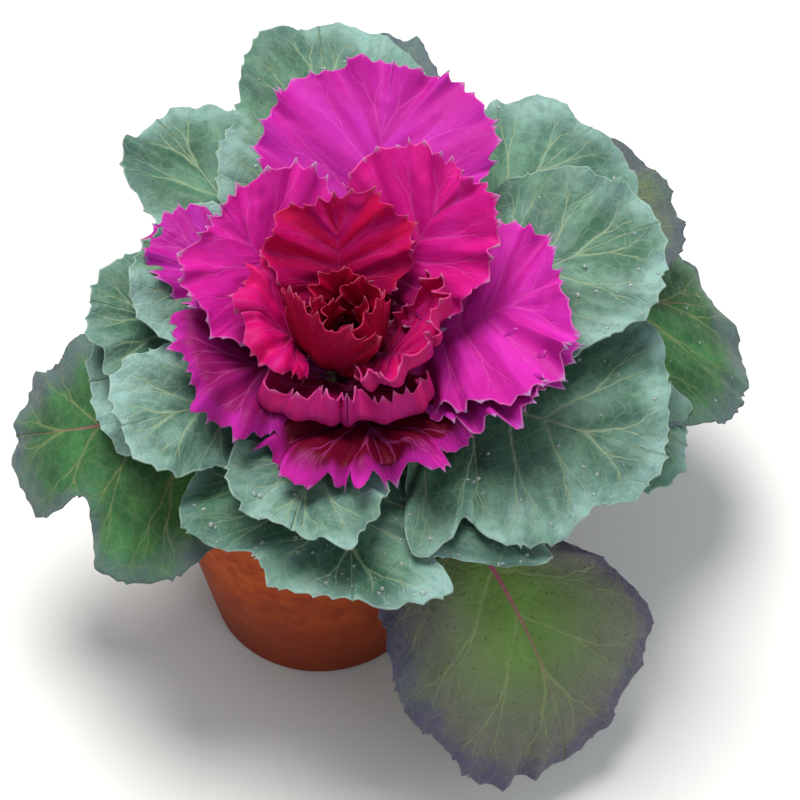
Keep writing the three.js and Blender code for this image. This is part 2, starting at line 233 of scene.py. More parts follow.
def leaf_place(leaf, x, y, lift):
    """Flat leaf coordinates and lift, in mm, to points in the plant's frame."""
    out = np.hypot(x, y + FAN_CENTRE) - FAN_CENTRE
    side = np.arctan2(x, y + FAN_CENTRE)
    reach, climb, rise = section(leaf, out)
    sway = math.radians(leaf.sway) * np.maximum(0, out / leaf.length) ** SWAY_CURVE
    turn = math.radians(leaf.angle) + sway
    curl = np.maximum(reach, leaf.round)
    across = side * (out + FAN_CENTRE) / curl
    radius = curl - np.sin(rise) * lift
    u = reach - curl + radius * np.cos(across)
    v = -radius * np.sin(across)
    return np.stack([
        u * np.cos(turn) - v * np.sin(turn),
        u * np.sin(turn) + v * np.cos(turn),
        climb + np.cos(rise) * lift,
    ], -1)


def to_frame(points):
    """Points in the plant's frame, in mm, to the part's frame, in metres."""
    return points * MM @ np.array(PLANT.to_3x3()).T + np.array(PLANT.translation)


# %% [markdown]
# A blade is drawn flat first: a stalk, and then an oval with a heavier outer
# half. Side veins start along the midrib and end on the margin, so a step
# along the margin is a vein, and it has a start and an end. Lobes push the
# margin out or in at some place between the tip, 0, and the stalk, 1 or -1.
# `midrib` says how much of the blade the midrib runs through. Where it is
# short, the side veins spread like a fan, as on the leaves near the bud.

# %% Flat outline
STALK_LENGTH = 0.2
STALK_COLUMNS = 0.16
STALK_HALF_WIDTH = 4.5
STALK_HALF_SHARE = 0.16
STALK_SLIMMEST = 0.75
BLADE_ROUNDNESS = 0.8
BLADE_HEAVY_TIP = 0.15
VEIN_CROWDING = 1.35
LOBE_LEAST_REACH = 3.0


def outline(leaf, step, side):
    """Margin x and y and the vein's start on the midrib, from the stalk's end to the tip."""
    stalk = STALK_LENGTH * leaf.length
    stalk_half = min(STALK_HALF_WIDTH, STALK_HALF_SHARE * leaf.width)
    along = np.clip(step / STALK_COLUMNS, 0, 1)
    past = np.clip((step - STALK_COLUMNS) / (1 - STALK_COLUMNS), 0, 1)
    turn = math.pi * past
    blade = leaf.length - stalk
    heavy = 1 - BLADE_HEAVY_TIP * np.cos(turn)
    x = 0.5 * leaf.width * np.sin(turn) ** BLADE_ROUNDNESS * heavy
    x = np.where(turn < math.pi / 2, np.maximum(x, STALK_SLIMMEST * stalk_half), x)
    x = np.where(step >= 1, 0, x)
    y = stalk + 0.5 * blade * (1 - np.cos(turn))
    spine = stalk + leaf.midrib * blade * past ** VEIN_CROWDING
    place = side * (1 - past)
    lobes = np.zeros_like(x)
    for middle, size, width in leaf.lobes:
        lobes += size * np.exp(-(((place - middle) / width) ** 2))
    longer = 1 + lobes / np.maximum(LOBE_LEAST_REACH, np.hypot(x, y - spine))
    x, y = x * longer, spine + (y - spine) * longer
    in_stalk = along < 1
    x = np.where(in_stalk, stalk_half * (1 - (1 - STALK_SLIMMEST) * along), x)
    y = np.where(in_stalk, stalk * along, y)
    spine = np.where(in_stalk, stalk * along, spine)
    return x, y, spine


# %% [markdown]
# ## The leaves, one by one
#
# Kinds of leaf differ in how their margins wave. The list holds each leaf's
# turn about the stem, its shell, its length and width in mm, and what sets it
# apart: how it leaves its shell, a knee, a lip that folds in or out, lobes,
# and a stronger ruffle. `age` runs from 0 to 1. On a green leaf it stands for
# how worn it is, with a fading margin, and on a magenta one for how far in it
# grows, where the pink turns to crimson. `deep` darkens a blade that
# stands in the shade of others or is cupped, as painted shade.

# %% Leaf list
KINDS = {
    "old_leaf": {"ruffle": 2.0, "wave": 27, "scallop": 1.3, "tooth": 1.3, "pitch": 7.0, "thick": 0.7,
                 "pleat": 0.5, "pucker": 0.7, "age": 0.6},
    "green_leaf": {"ruffle": 2.4, "wave": 25, "scallop": 1.4, "tooth": 1.4, "pitch": 7.5, "thick": 0.7,
                   "pleat": 0.5, "pucker": 0.8, "age": 0.15},
    "magenta_leaf": {"ruffle": 3.0, "wave": 17, "scallop": 2.2, "tooth": 2.8, "pitch": 5.6, "thick": 0.6,
                     "pleat": 0.6, "pucker": 0.5},
    "heart_leaf": {"ruffle": 2.1, "wave": 9, "scallop": 1.3, "tooth": 2.5, "pitch": 3.6, "thick": 0.45,
                   "pleat": 0.25, "pucker": 0.2},
}
SHAPED = {"more": (0, 0), "knee": (0, 0, 1), "sway": 0, "round": 0, "midrib": 0.72, "lip": (0, 0, 1),
          "lobes": (), "deep": 0.0}

LEAVES = {
    "old_leaf": [
        (118, -0.08, 132, 84, {}),
        (64, -0.05, 138, 84, {}),
        (154, -0.03, 96, 66, {}),
        (-52, 0.02, 178, 108, dict(
            more=(8, 10), sway=-3,
            lobes=((-0.52, -26, 0.09), (-0.32, 7, 0.08), (0.05, 5, 0.15), (0.38, -4, 0.20)), age=1.0)),
        (200, 0.04, 150, 118, dict(
            more=(15, -4), sway=-18,
            lobes=((-0.12, -10, 0.08), (-0.31, -32, 0.09), (-0.62, 18, 0.14), (0.30, -27, 0.22)),
            age=0.5)),
        (22, 0.07, 186, 116, dict(more=(0, 18), age=0.45)),
        (41, 0.10, 170, 84, dict(more=(0, 26), age=0.8)),
        (88, 0.14, 172, 72, dict(more=(0, 22), age=0.6)),
    ],
    "green_leaf": [
        (-6, 0.13, 138, 60, {}),
        (184, 0.135, 92, 68, dict(more=(4, 10))),
        (124, 0.17, 140, 66, dict(more=(0, 14), lobes=((-0.35, -7, 0.20),))),
        (-88, 0.17, 97, 124, dict(
            more=(4, 14),
            lobes=((-0.23, -22, 0.045), (-0.36, 12, 0.07), (0.27, -22, 0.12), (0.58, 4, 0.12)),
            ruffle=3.4, wave=34)),
        (168, 0.20, 96, 66, dict(more=(0, 16), lobes=((-0.20, -5, 0.04),), deep=0.8)),
        (49, 0.22, 150, 88, dict(more=(0, 3))),
        (-20, 0.245, 122, 120, dict(
            lobes=((0.70, 20, 0.08), (0.56, -9, 0.03), (0.36, -8, 0.12), (0.19, -14, 0.11),
                   (-0.50, -8, 0.25)),
            ruffle=3.2, wave=31)),
        (95, 0.26, 154, 86, dict(lobes=((-0.30, -7, 0.15), (-0.66, 9, 0.12)))),
        (205, 0.275, 89, 56, dict(more=(0, 6))),
        (153, 0.315, 85, 60, {}),
        (-103, 0.32, 84, 58, dict(
            lobes=((0.14, -5, 0.15), (-0.16, 7, 0.05)), ruffle=3.2, wave=21)),
        (22, 0.325, 126, 80, {}),
    ],
    "magenta_leaf": [
        (-4, 0.365, 84, 42, dict(more=(-3, -7), ruffle=4.5, wave=17, scallop=4.0)),
        (148, 0.38, 86, 38, dict(more=(-6, -9))),
        (-76, 0.39, 67, 77, dict(
            more=(4, 4), midrib=0.45, lip=(10, -60, 4), ruffle=8.5, wave=26, scallop=8.0,
            tooth=3.2, age=0.2, deep=1.0)),
        (-24, 0.44, 84, 40, dict(
            more=(-1, 2), ruffle=5.0, wave=18, scallop=5.0, deep=0.6)),
        (200, 0.46, 70, 70, dict(
            more=(0, -3), midrib=0.4, lip=(11, -70, 6), lobes=((-0.80, -19, 0.22),),
            ruffle=5.5, wave=20, scallop=4.0, age=0.1, deep=0.7)),
        (81, 0.50, 112, 88, dict(more=(-7, -10))),
        (4, 0.53, 88, 88, dict(
            more=(-8.5, -8), lobes=((-0.35, -8, 0.20), (0.86, -9, 0.15)), ruffle=4.6, wave=20)),
        (142, 0.58, 72, 76, dict(more=(-4.5, -12))),
        (-89, 0.60, 53, 81, dict(
            more=(-14, 0), knee=(20, -12, 12), midrib=0.3, lip=(14, 100, 4), round=55,
            lobes=((-0.88, -6, 0.12), (0.88, 1, 0.12)), ruffle=4.5, wave=16, scallop=3.5,
            pleat=0.1, pucker=0.2, age=0.6, deep=0.1)),
        (48, 0.62, 83, 66, dict(more=(-3, 0))),
        (189, 0.67, 54, 56, dict(
            more=(-8.3, -10), knee=(12, 12, 8), midrib=0.4, lip=(9, -80, 6),
            lobes=((-0.72, -14, 0.20), (0.74, -12, 0.20)), ruffle=4.0, wave=15)),
        (-30, 0.70, 57, 60, dict(
            more=(-8, 0), midrib=0.4, lip=(9, 60, 5), round=44,
            lobes=((-0.70, -7, 0.22), (0.80, -16, 0.22)), ruffle=4.6, wave=14)),
        (98, 0.74, 59, 57, dict(more=(-8, -4))),
    ],
    "heart_leaf": [
        (-122, 0.78, 48, 42, dict(
            more=(-13, 0), knee=(18, 42, 10), midrib=0.4, round=26,
            lobes=((-0.80, -6, 0.24), (0.80, -5, 0.20)), ruffle=2.8, wave=13, tooth=2.8,
            pitch=4.4)),
        (110, 0.81, 32, 24, {}),
        (-42, 0.83, 40, 26, dict(more=(-16, 0), knee=(10, 42, 10), round=18)),
        (190, 0.86, 29, 20, {}),
        (56, 0.885, 30, 18, {}),
        (-85, 0.92, 20, 15, {}),
        (150, 0.955, 20, 12, {}),
        (20, 0.99, 20, 11, {}),
    ],
}

PINK_LEVEL = 0.48
CRIMSON_AFTER = 0.30
leaves = []
for kind, rows in LEAVES.items():
    for number, (angle, level, length, width, extra) in enumerate(rows, 1):
        leaves.append(SimpleNamespace(**{
            "kind": kind, "node": f"{kind}_{number:02d}", "angle": angle, "level": level,
            "length": length, "width": width,
            "age": float(np.clip((level - PINK_LEVEL) / CRIMSON_AFTER, 0, 1)),
            **SHAPED, **KINDS[kind], **extra,
        }))
print("leaves:", len(leaves))

# %% [markdown]
# ## Margin: scallops, ruffles and teeth
#
# The blade of a flowering cabbage grows faster at its rim than inside, so the
# rim has too much length for the space it has, and it waves up and down. A
# smooth random curve, made of a few sines with seeded phases, keeps the waves
# uneven.

# %% Uneven curves
def uneven(place, wave, seed):
    """A smooth random curve from about -1 to 1 along place, with waves about that long."""
    draw = np.random.default_rng(seed)
    total = np.zeros_like(place, dtype=float)
    for share in (1.9, 1.0, 0.61):
        total += np.sin(2 * math.pi * place / (wave * share) + draw.uniform(0, 2 * math.pi))
    return total / 2.2


def smooth(low, high, value):
    share = np.clip((value - low) / (high - low), 0, 1)
    return share * share * (3 - 2 * share)


print("uneven:", [round(float(value), 2) for value in uneven(np.arange(0, 40, 10), 25, 1)])

# %% [markdown]
# The teeth are pointed, with hollow arcs between them, and no two are the
# same size. A tooth takes five columns of the mesh, so every point stays
# sharp. The columns are spread evenly along the margin first and then shifted
# a little, which makes the teeth wider and narrower.

# %% Teeth
COLUMNS_A_TOOTH = 5
LEAST_TEETH = 5
TOOTH_SHARPNESS = 1.2
TOOTH_SIZES = (0.15, 1.4)
TOOTH_SHIFT = 0.42
TOOTH_SHIFT_WAVE = 4.3
MARGIN_POINTS = 600


def margin_run(leaf, steps, side):
    """How many mm along the margin each step lies from the stalk's end."""
    x, y, _ = outline(leaf, steps, side)
    return np.concatenate([[0], np.cumsum(np.hypot(np.diff(x), np.diff(y)))])


def margin_steps(leaf, seed):
    """Steps whose margin points are a column apart, with teeth of uneven widths."""
    fine = np.linspace(0, 1, MARGIN_POINTS)
    run = (margin_run(leaf, fine, -1) + margin_run(leaf, fine, 1)) / 2
    count = max(LEAST_TEETH, round(run[-1] / leaf.pitch))
    even = np.linspace(0, run[-1], COLUMNS_A_TOOTH * count + 1)
    shift = TOOTH_SHIFT * leaf.pitch * uneven(even, TOOTH_SHIFT_WAVE * leaf.pitch, seed + 5)
    shift *= np.minimum(1, np.minimum(even, run[-1] - even) / (2 * leaf.pitch))
    return np.interp(even + shift, run, fine)


def teeth(column, side, seed):
    """Tooth height at each margin column, 1 for a tall tooth's point, and how near the point is."""
    phase = column % COLUMNS_A_TOOTH / COLUMNS_A_TOOTH
    near = (1 - np.sin(math.pi * phase)) ** TOOTH_SHARPNESS
    number = (column + COLUMNS_A_TOOTH // 2) // COLUMNS_A_TOOTH
    sizes = np.random.default_rng(seed + 3).uniform(*TOOTH_SIZES, (2, number.max() + 1))
    return near * sizes[(side > 0).astype(int), number], near


print("columns:", [len(margin_steps(leaf, 100)) - 1 for leaf in leaves[::8]])

# %% [markdown]
# ## The surface of one leaf
#
# A point of the leaf is found by its vein and by its share of the way out
# along it. The finish draws the side veins later on, and for lines of an even
# width it has to know how far apart two neighbouring veins are at each point.

# %% Side veins
FIRST_VEIN = 0.10
VEINS_A_SIDE = 7
VEIN_STEP = 0.004


def vein_gap(leaf, step, side, share):
    """How many mm apart two neighbouring side veins are at each point."""
    x0, y0, spine = outline(leaf, step, side)
    x1, y1, spine1 = outline(leaf, np.clip(step - VEIN_STEP, 0, 0.999), side)
    x2, y2, spine2 = outline(leaf, np.clip(step + VEIN_STEP, 0, 0.999), side)
    across_x = share * (x2 - x1)
    across_y = (1 - share) * (spine2 - spine1) + share * (y2 - y1)
    along_x, along_y = x0, y0 - spine
    reach = np.maximum(np.hypot(along_x, along_y), 0.5)
    gap = np.abs(across_x * along_y - across_y * along_x) / reach
    return gap / (2 * VEIN_STEP * VEINS_A_SIDE)


print("veins:", VEINS_A_SIDE, "on each side of the midrib")

# %% [markdown]
# Growth in the blade's own plane moves the margin. The lift is the sum of the
# ruffle near the rim, a slow sway, pleats between the side veins, puckers and
# a groove along the midrib. Where a ruffle turns, the margin is scalloped
# too, since both come from the same growth, so they share one phase.

# %% Growth and lift
FULL_SIZE = 60.0
MARGIN_DRIFT = 0.03
DRIFT_WAVES = 3.1
SCALLOP_SHARPNESS = 0.7
SCALLOP_MIDDLE = 0.6
TOOTH_MIDDLE = 0.25
RUFFLE_VIGOUR = (0.75, 0.45)
RUFFLE_REACH = 0.6
SLOW_SWAY = 0.02
PUCKER_WAVES = (13, 15)
GROOVE_DEPTH = 1.2
GROOVE_HALF_WIDTH = 2.2


def wave_phase(leaf, around, seed):
    return 2 * math.pi * around / leaf.wave + 1.6 * uneven(around, 2.3 * leaf.wave, seed + 1)


def grown(leaf, column, side, share, reach, around, seed):
    """How far out along its vein each point lies, and how near it is to a tooth's point."""
    phase = wave_phase(leaf, around, seed)
    tall, near = teeth(column, side, seed)
    margin = MARGIN_DRIFT * leaf.width * uneven(around, DRIFT_WAVES * leaf.wave, seed)
    scallop = np.abs(np.sin(phase)) ** SCALLOP_SHARPNESS - SCALLOP_MIDDLE
    margin += leaf.scallop * scallop + leaf.tooth * (tall - TOOTH_MIDDLE)
    return margin * share ** 4 * np.minimum(1, reach / 4), near * tall


def lifted(leaf, turn, share, reach, around, blade, fx, fy, seed):
    """Height of the blade above its shell in mm, before a lip is folded."""
    wave = leaf.wave
    size = min(1, leaf.width / FULL_SIZE)
    rim = np.maximum(0, 1 - share) * reach
    vigour = RUFFLE_VIGOUR[0] + RUFFLE_VIGOUR[1] * uneven(around, 2.6 * wave, seed + 2)
    ruffle = leaf.ruffle * vigour * np.sin(wave_phase(leaf, around, seed))
    ruffle *= np.exp(-((rim / (RUFFLE_REACH * wave)) ** 1.3))
    sway = SLOW_SWAY * leaf.width * uneven(around, 4.5 * wave, seed + 4) * share ** 2
    pleat = -leaf.pleat * np.cos(2 * math.pi * turn) * smooth(0, 0.35, share) * (1 - 0.6 * share)
    first, second = PUCKER_WAVES
    pucker = leaf.pucker * uneven(fx + 0.6 * fy, first, seed + 6) * uneven(fy - 0.6 * fx, second, seed + 7)
    groove = -GROOVE_DEPTH * size * np.exp(-((fx / GROOVE_HALF_WIDTH) ** 2))
    groove *= 1 - smooth(0.5, 0.95, fy / leaf.length)
    return blade * (ruffle + sway + size * pleat + pucker * smooth(0, 0.2, share)) + groove


print("ruffles by kind, in mm:", {kind: values["ruffle"] for kind, values in KINDS.items()})

# %% [markdown]
# Some magenta leaves have a lip: past a fold, the blade turns up or down on
# an arc, and the lift goes along with it. Then everything is put together for
# all points of a leaf at once.

# %% Lip and surface
BLADE_START = 0.12
LIP_FADE = 3.0


def lip_width(leaf, step, reach):
    """How much of the vein lies past the fold of the leaf's lip."""
    past = np.clip((step - STALK_COLUMNS) / (1 - STALK_COLUMNS), 0, 1)
    return np.minimum(leaf.lip[0] * np.minimum(1, LIP_FADE * past), 0.5 * reach)


def folded(leaf, step, reach, out, lift):
    """Out and lift again, with the leaf's lip turned up or down on an arc."""
    width, degrees, radius = leaf.lip
    if not width:
        return out, lift
    past = np.maximum(0, out - (reach - lip_width(leaf, step, reach)))
    fold = math.radians(abs(degrees))
    sign = np.sign(degrees)
    arc = np.minimum(past / radius, fold)
    rest = past - radius * arc
    along = radius * np.sin(arc) + rest * math.cos(fold) - sign * lift * np.sin(arc)
    off = sign * (radius * (1 - np.cos(arc)) + rest * math.sin(fold)) + lift * np.cos(arc)
    return out - past + along, off


def leaf_surface(leaf, column, steps, side, share, seed):
    """x, y and lift of each grid point, and the coordinates that the finish draws with."""
    step = steps[column]
    x0, y0, spine = outline(leaf, step, side)
    reach = np.maximum(np.hypot(x0, y0 - spine), 0.01)
    run = margin_run(leaf, steps, 1)
    around = (run[-1] - run[column]) * side
    blade = smooth(STALK_COLUMNS, STALK_COLUMNS + BLADE_START, step)
    turn = (step - FIRST_VEIN) * VEINS_A_SIDE
    fx, fy = side * x0 * share, spine + (y0 - spine) * share
    growth, tooth = grown(leaf, column, side, share, reach, around, seed)
    lift = lifted(leaf, turn, share, reach, around, blade, fx, fy, seed)
    out, lift = folded(leaf, step, reach, share * reach + blade * growth, lift)
    x = side * x0 * out / reach
    y = spine + (y0 - spine) * out / reach
    rim = np.maximum(0, 1 - share) * reach
    blade_place = (share, rim, y / leaf.length)
    vein_place = (turn, vein_gap(leaf, step, side, share), np.abs(fx))
    return x, y, lift, blade_place, vein_place, tooth


print("folded leaves:", sum(leaf.lip[0] > 0 for leaf in leaves))

# %% [markdown]
# ## The mesh of one leaf
#
# Three small helpers come first. They read where the vertices are, weld the
# ones that lie on each other, and keep a number or three at every vertex as
# an attribute.

# %% Mesh helpers
WELD = 0.02 * MM


def places(mesh):
    flat = np.empty(3 * len(mesh.vertices))
    mesh.vertices.foreach_get("co", flat)
    return flat.reshape(-1, 3)


def weld(obj):
    bpy.ops.object.mode_set(mode="EDIT")
    bpy.ops.mesh.select_all(action="SELECT")
    bpy.ops.mesh.remove_doubles(threshold=WELD)
    bpy.ops.object.mode_set(mode="OBJECT")


def add_attribute(mesh, name, *values):
    kind, key = ("FLOAT", "value") if len(values) == 1 else ("FLOAT_VECTOR", "vector")
    attribute = mesh.attributes.new(name, kind, "POINT")
    attribute.data.foreach_set(key, np.stack(values, -1).astype(np.float32).ravel())


print("vertices closer than", WELD / MM, "mm are welded")

# %% [markdown]
# A real blade is half a millimetre thick, and its midrib is a round cord on
# the under side. Solidify adds the thickness downwards only, and a vertex
# group makes it greater under the midrib. The new vertices are the under
# side, which has a finish of its own.

# %% Thickness
STALK_THICKNESS = 3.2


def thicken(obj, leaf):
    """Gives the blade its thickness and its rib, and marks the under side."""
    mesh = obj.data
    count = len(mesh.vertices)
    thick = obj.vertex_groups.new(name="thick")
    ribs = np.empty(count)
    mesh.attributes["rib"].data.foreach_get("value", ribs)
    least = leaf.thick / STALK_THICKNESS
    for index, value in enumerate(ribs):
        thick.add([index], least + (1 - least) * float(value), "REPLACE")
    mesh.attributes.remove(mesh.attributes["rib"])
    solid = obj.modifiers.new("thickness", "SOLIDIFY")
    solid.thickness = STALK_THICKNESS * MM
    solid.offset = -1
    solid.vertex_group = thick.name
    bpy.ops.object.modifier_apply(modifier=solid.name)
    obj.vertex_groups.clear()
    total = len(obj.data.vertices)
    add_attribute(obj.data, "under", (np.arange(total) >= count).astype(float))
    add_attribute(obj.data, "age", np.full(total, leaf.age))
    add_attribute(obj.data, "deep", np.full(total, leaf.deep))


print("thickness by kind, in mm:", {kind: values["thick"] for kind, values in KINDS.items()})

# %% [markdown]
# The mesh starts as a flat grid. One direction of the grid runs from the
# stalk to the tip, and the other from the left margin over the midrib to the
# right margin. At the tip the grid closes like a fan, and that seam is
# welded. Every vertex is then moved to its place on the leaf. Rows crowd near
# the rim, where the surface turns most. The leaf's own coordinates are kept
# as attributes, from which the finishes draw the veins and the margin.

# %% Leaf builder
ROWS = 15
ROW_CROWDING = 1.5
RIB_HALF_WIDTH = 2.6
RIB_END = 0.85
STEM_CLEAR = 0.06


def build_leaf(leaf, seed):
    deselect()
    steps = margin_steps(leaf, seed)
    columns = len(steps) - 1
    bpy.ops.mesh.primitive_grid_add(x_subdivisions=columns, y_subdivisions=2 * ROWS, size=2)
    obj = bpy.context.object
    obj.name = leaf.node.replace("_leaf", "_blade")
    mesh = obj.data
    mesh.name = obj.name
    flat = places(mesh)
    column = np.rint((flat[:, 0] + 1) / 2 * columns).astype(int)
    row = np.round(flat[:, 1], 5)
    side = np.where(row < 0, -1.0, 1.0)
    share = 1 - (1 - np.abs(row)) ** ROW_CROWDING
    x, y, lift, blade, veins, tooth = leaf_surface(leaf, column, steps, side, share, seed)
    mesh.vertices.foreach_set("co", to_frame(leaf_place(leaf, x, y, lift)).ravel())
    add_attribute(mesh, "blade", *blade)
    add_attribute(mesh, "veins", *veins)
    add_attribute(mesh, "tooth", tooth)
    rib = np.exp(-((veins[2] / RIB_HALF_WIDTH) ** 2)) * (1 - smooth(0.0, RIB_END, blade[2]))
    rib *= min(1, leaf.width / FULL_SIZE) * smooth(0.0, STEM_CLEAR, blade[2])
    add_attribute(mesh, "rib", np.clip(rib, 0, 1))
    mesh.update()
    weld(obj)
    up = mesh.polygons[len(mesh.polygons) // 2].normal
    middle = np.full(2, 0.5 * leaf.length)
    low, high = leaf_place(leaf, np.zeros(2), middle, np.array([0.0, 1.0]))
    if up.dot(PLANT.to_3x3() @ Vector(high - low)) < 0:
        mesh.flip_normals()
    thicken(obj, leaf)
    bpy.ops.object.shade_smooth()
    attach(obj, "root")
    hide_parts(leaf.node)
    return obj


print("grid rows:", 2 * ROWS)

# %% [markdown]
# ## Finishes
#
# A pattern is a chain of nodes, and all of them are added by the same
# function. The settings that come again and again get names here. Sizes are
# worked out from millimetres, so a pattern can be compared with the real
# thing.

# %% Node settings
ADD = {"operation": "ADD"}
SUBTRACT = {"operation": "SUBTRACT"}
MULTIPLY = {"operation": "MULTIPLY"}
DIVIDE = {"operation": "DIVIDE"}
MULTIPLY_ADD = {"operation": "MULTIPLY_ADD"}
ABSOLUTE = {"operation": "ABSOLUTE"}
PINGPONG = {"operation": "PINGPONG"}
MAXIMUM = {"operation": "MAXIMUM"}
RAMP = {"interpolation_type": "SMOOTHSTEP"}
BLEND = {"data_type": "RGBA"}
print("ramps:", RAMP, "colour blends:", BLEND)

# %% [markdown]
# A cabbage leaf is matt from a fine bloom of wax, and paler where the wax is
# thick. Its side veins fork twice on their way to the margin and sink into
# the upper face. The blade's own coordinates draw them. `turn` counts the
# side veins, so the distance to the nearest whole number is the distance to a
# vein, and taking off a share that grows outwards makes each vein fork.

# %% Veins
VEIN_SLIMMEST = 0.3
RIB_SLIMMEST = 0.15


def leaf_coordinates(leaf):
    """The attributes of a blade, one socket or node for each number."""
    split = {}
    for name, parts in (("blade", ("share", "rim", "along")), ("veins", ("turn", "gap", "across"))):
        vector = add_node(leaf, "Attribute", {"attribute_name": name}).outputs["Vector"]
        split.update(zip(parts, add_node(leaf, "SeparateXYZ", None, vector).outputs))
    for name in ("tooth", "under", "age", "deep"):
        split[name] = add_node(leaf, "Attribute", {"attribute_name": name}).outputs["Fac"]
    return SimpleNamespace(**split)


def forked_veins(leaf, place, wander, vein_mm, rib_mm):
    """1 on a side vein and 1 on the midrib, each 0 off it, with widths in mm."""
    turn = add_node(leaf, "Math", ADD, place.turn, wander)
    apart = add_node(leaf, "Math", PINGPONG, turn, 0.5)
    fork = add_node(leaf, "MapRange", RAMP, place.share, 0.30, 1.0, 0.0, 0.25)
    apart = add_node(leaf, "Math", ABSOLUTE, add_node(leaf, "Math", SUBTRACT, apart, fork))
    fork = add_node(leaf, "MapRange", RAMP, place.share, 0.60, 1.05, 0.0, 0.12)
    apart = add_node(leaf, "Math", ABSOLUTE, add_node(leaf, "Math", SUBTRACT, apart, fork))
    distance = add_node(leaf, "Math", MULTIPLY, apart, place.gap)
    width = add_node(leaf, "MapRange", RAMP, place.share, 0.0, 0.9, vein_mm, VEIN_SLIMMEST * vein_mm)
    near = add_node(leaf, "Math", DIVIDE, distance, width)
    vein = add_node(leaf, "MapRange", RAMP, near, 0.25, 1.3, 1.0, 0.0)
    fade = add_node(leaf, "MapRange", RAMP, place.share, 0.70, 1.0, 1.0, 0.15)
    vein = add_node(leaf, "Math", MULTIPLY, vein, fade)
    blade = add_node(leaf, "MapRange", RAMP, place.along, 0.12, 0.24, 0.0, 1.0)
    vein = add_node(leaf, "Math", MULTIPLY, vein, blade)
    width = add_node(leaf, "MapRange", RAMP, place.along, 0.0, 0.85, rib_mm, RIB_SLIMMEST * rib_mm)
    near = add_node(leaf, "Math", DIVIDE, place.across, width)
    rib = add_node(leaf, "MapRange", RAMP, near, 0.55, 1.15, 1.0, 0.0)
    return vein, rib


print("veins taper to", VEIN_SLIMMEST, "and midribs to", RIB_SLIMMEST, "of their width")

# %% [markdown]
# The outer leaves are blue-green under their wax, which lies thickest near
# the margin. Dark streaks run with the veins as painted shade, standing for
# the dips of the blade between them, and a finer mottle breaks up the green.

# %% Waxy green
def waxy_green(leaf, here, place, look, patches, clouds):
    shade = add_node(leaf, "MapRange", RAMP, patches, 0.36, 0.66, 0.0, 1.0)
    tone = add_node(leaf, "Mix", BLEND, shade, look.dark, look.light)
    wax = add_node(leaf, "MapRange", RAMP, place.rim, 2.0, 26.0, look.wax_share, 0.35 * look.wax_share)
    wax = add_node(leaf, "MapRange", RAMP, clouds, 0.36, 0.60, 0.15, wax)
    tone = add_node(leaf, "Mix", BLEND, wax, tone, look.wax)
    # Towards the stalk: on the green leaves a darker green, painted shade of the leaves above near the
    # middle of the plant; on the ageing ones their own yellow-green.
    inner_tone_and_shade = add_node(leaf, "Mix", BLEND, shade, look.inner_dark, look.inner_light)
    depth = add_node(leaf, "MapRange", RAMP, place.along, look.inner_from, look.inner_to, 1.0, 0.0)
    tone = add_node(leaf, "Mix", BLEND, depth, tone, inner_tone_and_shade)
    # Painted shade: dark streaks along the veins stand for the dips of the blade between the veins.
    across = add_node(leaf, "Math", MULTIPLY, place.turn, 1.7)
    fan = add_node(leaf, "CombineXYZ", None, across, place.share, clouds)
    streak = add_node(leaf, "TexNoise", None, Vector=fan, Scale=1.0, Detail=3.0)
    streak = add_node(leaf, "MapRange", RAMP, streak, 0.38, 0.62, look.streak_share, 0.0)
    streak = add_node(
        leaf, "Math", MULTIPLY, streak, add_node(leaf, "MapRange", RAMP, place.rim, 1.0, 12.0, 0.25, 1.0),
    )
    tone = add_node(leaf, "Mix", BLEND, streak, tone, look.streak)
    mottle = add_node(leaf, "TexNoise", None, Vector=here, Scale=1 / (5 * MM), Detail=5.0, Roughness=0.65)
    mottle = add_node(leaf, "MapRange", RAMP, mottle, 0.44, 0.66, 0.0, 0.34)
    tone = add_node(leaf, "Mix", BLEND, mottle, tone, look.dark)
    # Painted shade: a green blade that stands in the shade of other leaves is mixed towards the dark green.
    shaded = add_node(leaf, "Math", MULTIPLY, place.deep, 0.6)
    return add_node(leaf, "Mix", BLEND, shaded, tone, look.dark)


# %% [markdown]
# The oldest leaves lose their bloom. They go yellow-green in the middle and
# brown-grey further out, and have a grey-purple border and dark specks. All
# of it grows with the leaf's `age`. Clouds shift the border, so that it
# doesn't follow the margin like a drawn line.

# %% Signs of age
def worn(leaf, here, place, look, patches, clouds, tone):
    rim_place = add_node(leaf, "Math", MULTIPLY_ADD, patches, 22.0, place.rim)
    rim_place = add_node(leaf, "Math", MULTIPLY_ADD, clouds, 50.0, rim_place)
    aged = add_node(leaf, "Math", MULTIPLY, place.age, place.age)
    span = add_node(leaf, "Math", MULTIPLY_ADD, aged, look.edge_mm, 40.0)
    edge = add_node(leaf, "MapRange", RAMP, rim_place, 35.0, span, look.edge_share, 0.0)
    edge = add_node(leaf, "Math", MULTIPLY, edge, place.age)
    yellow = add_node(leaf, "MapRange", RAMP, place.age, 0.6, 1.0, 0.0, 0.45)
    tone = add_node(leaf, "Mix", BLEND, yellow, tone, look.yellow)
    oldest = add_node(leaf, "MapRange", RAMP, place.age, 0.5, 0.95, 0.0, 1.0)
    border = add_node(leaf, "Math", MULTIPLY_ADD, patches, 18.0, place.rim)
    border = add_node(leaf, "MapRange", RAMP, border, 12.0, 24.0, 1.0, 0.0)
    edge_tone = add_node(leaf, "Mix", BLEND, border, look.edge_inner, look.edge)
    edge_tone = add_node(leaf, "Mix", BLEND, oldest, look.edge_pale, edge_tone)
    tone = add_node(leaf, "Mix", BLEND, edge, tone, edge_tone)
    specks = add_node(leaf, "TexVoronoi", None, Vector=here, Scale=1 / (3.2 * MM))
    specks = add_node(leaf, "MapRange", RAMP, specks, 0.10, 0.20, 0.5, 0.0)
    specks = add_node(leaf, "Math", MULTIPLY, specks, place.age)
    return add_node(leaf, "Mix", BLEND, specks, tone, look.speck)
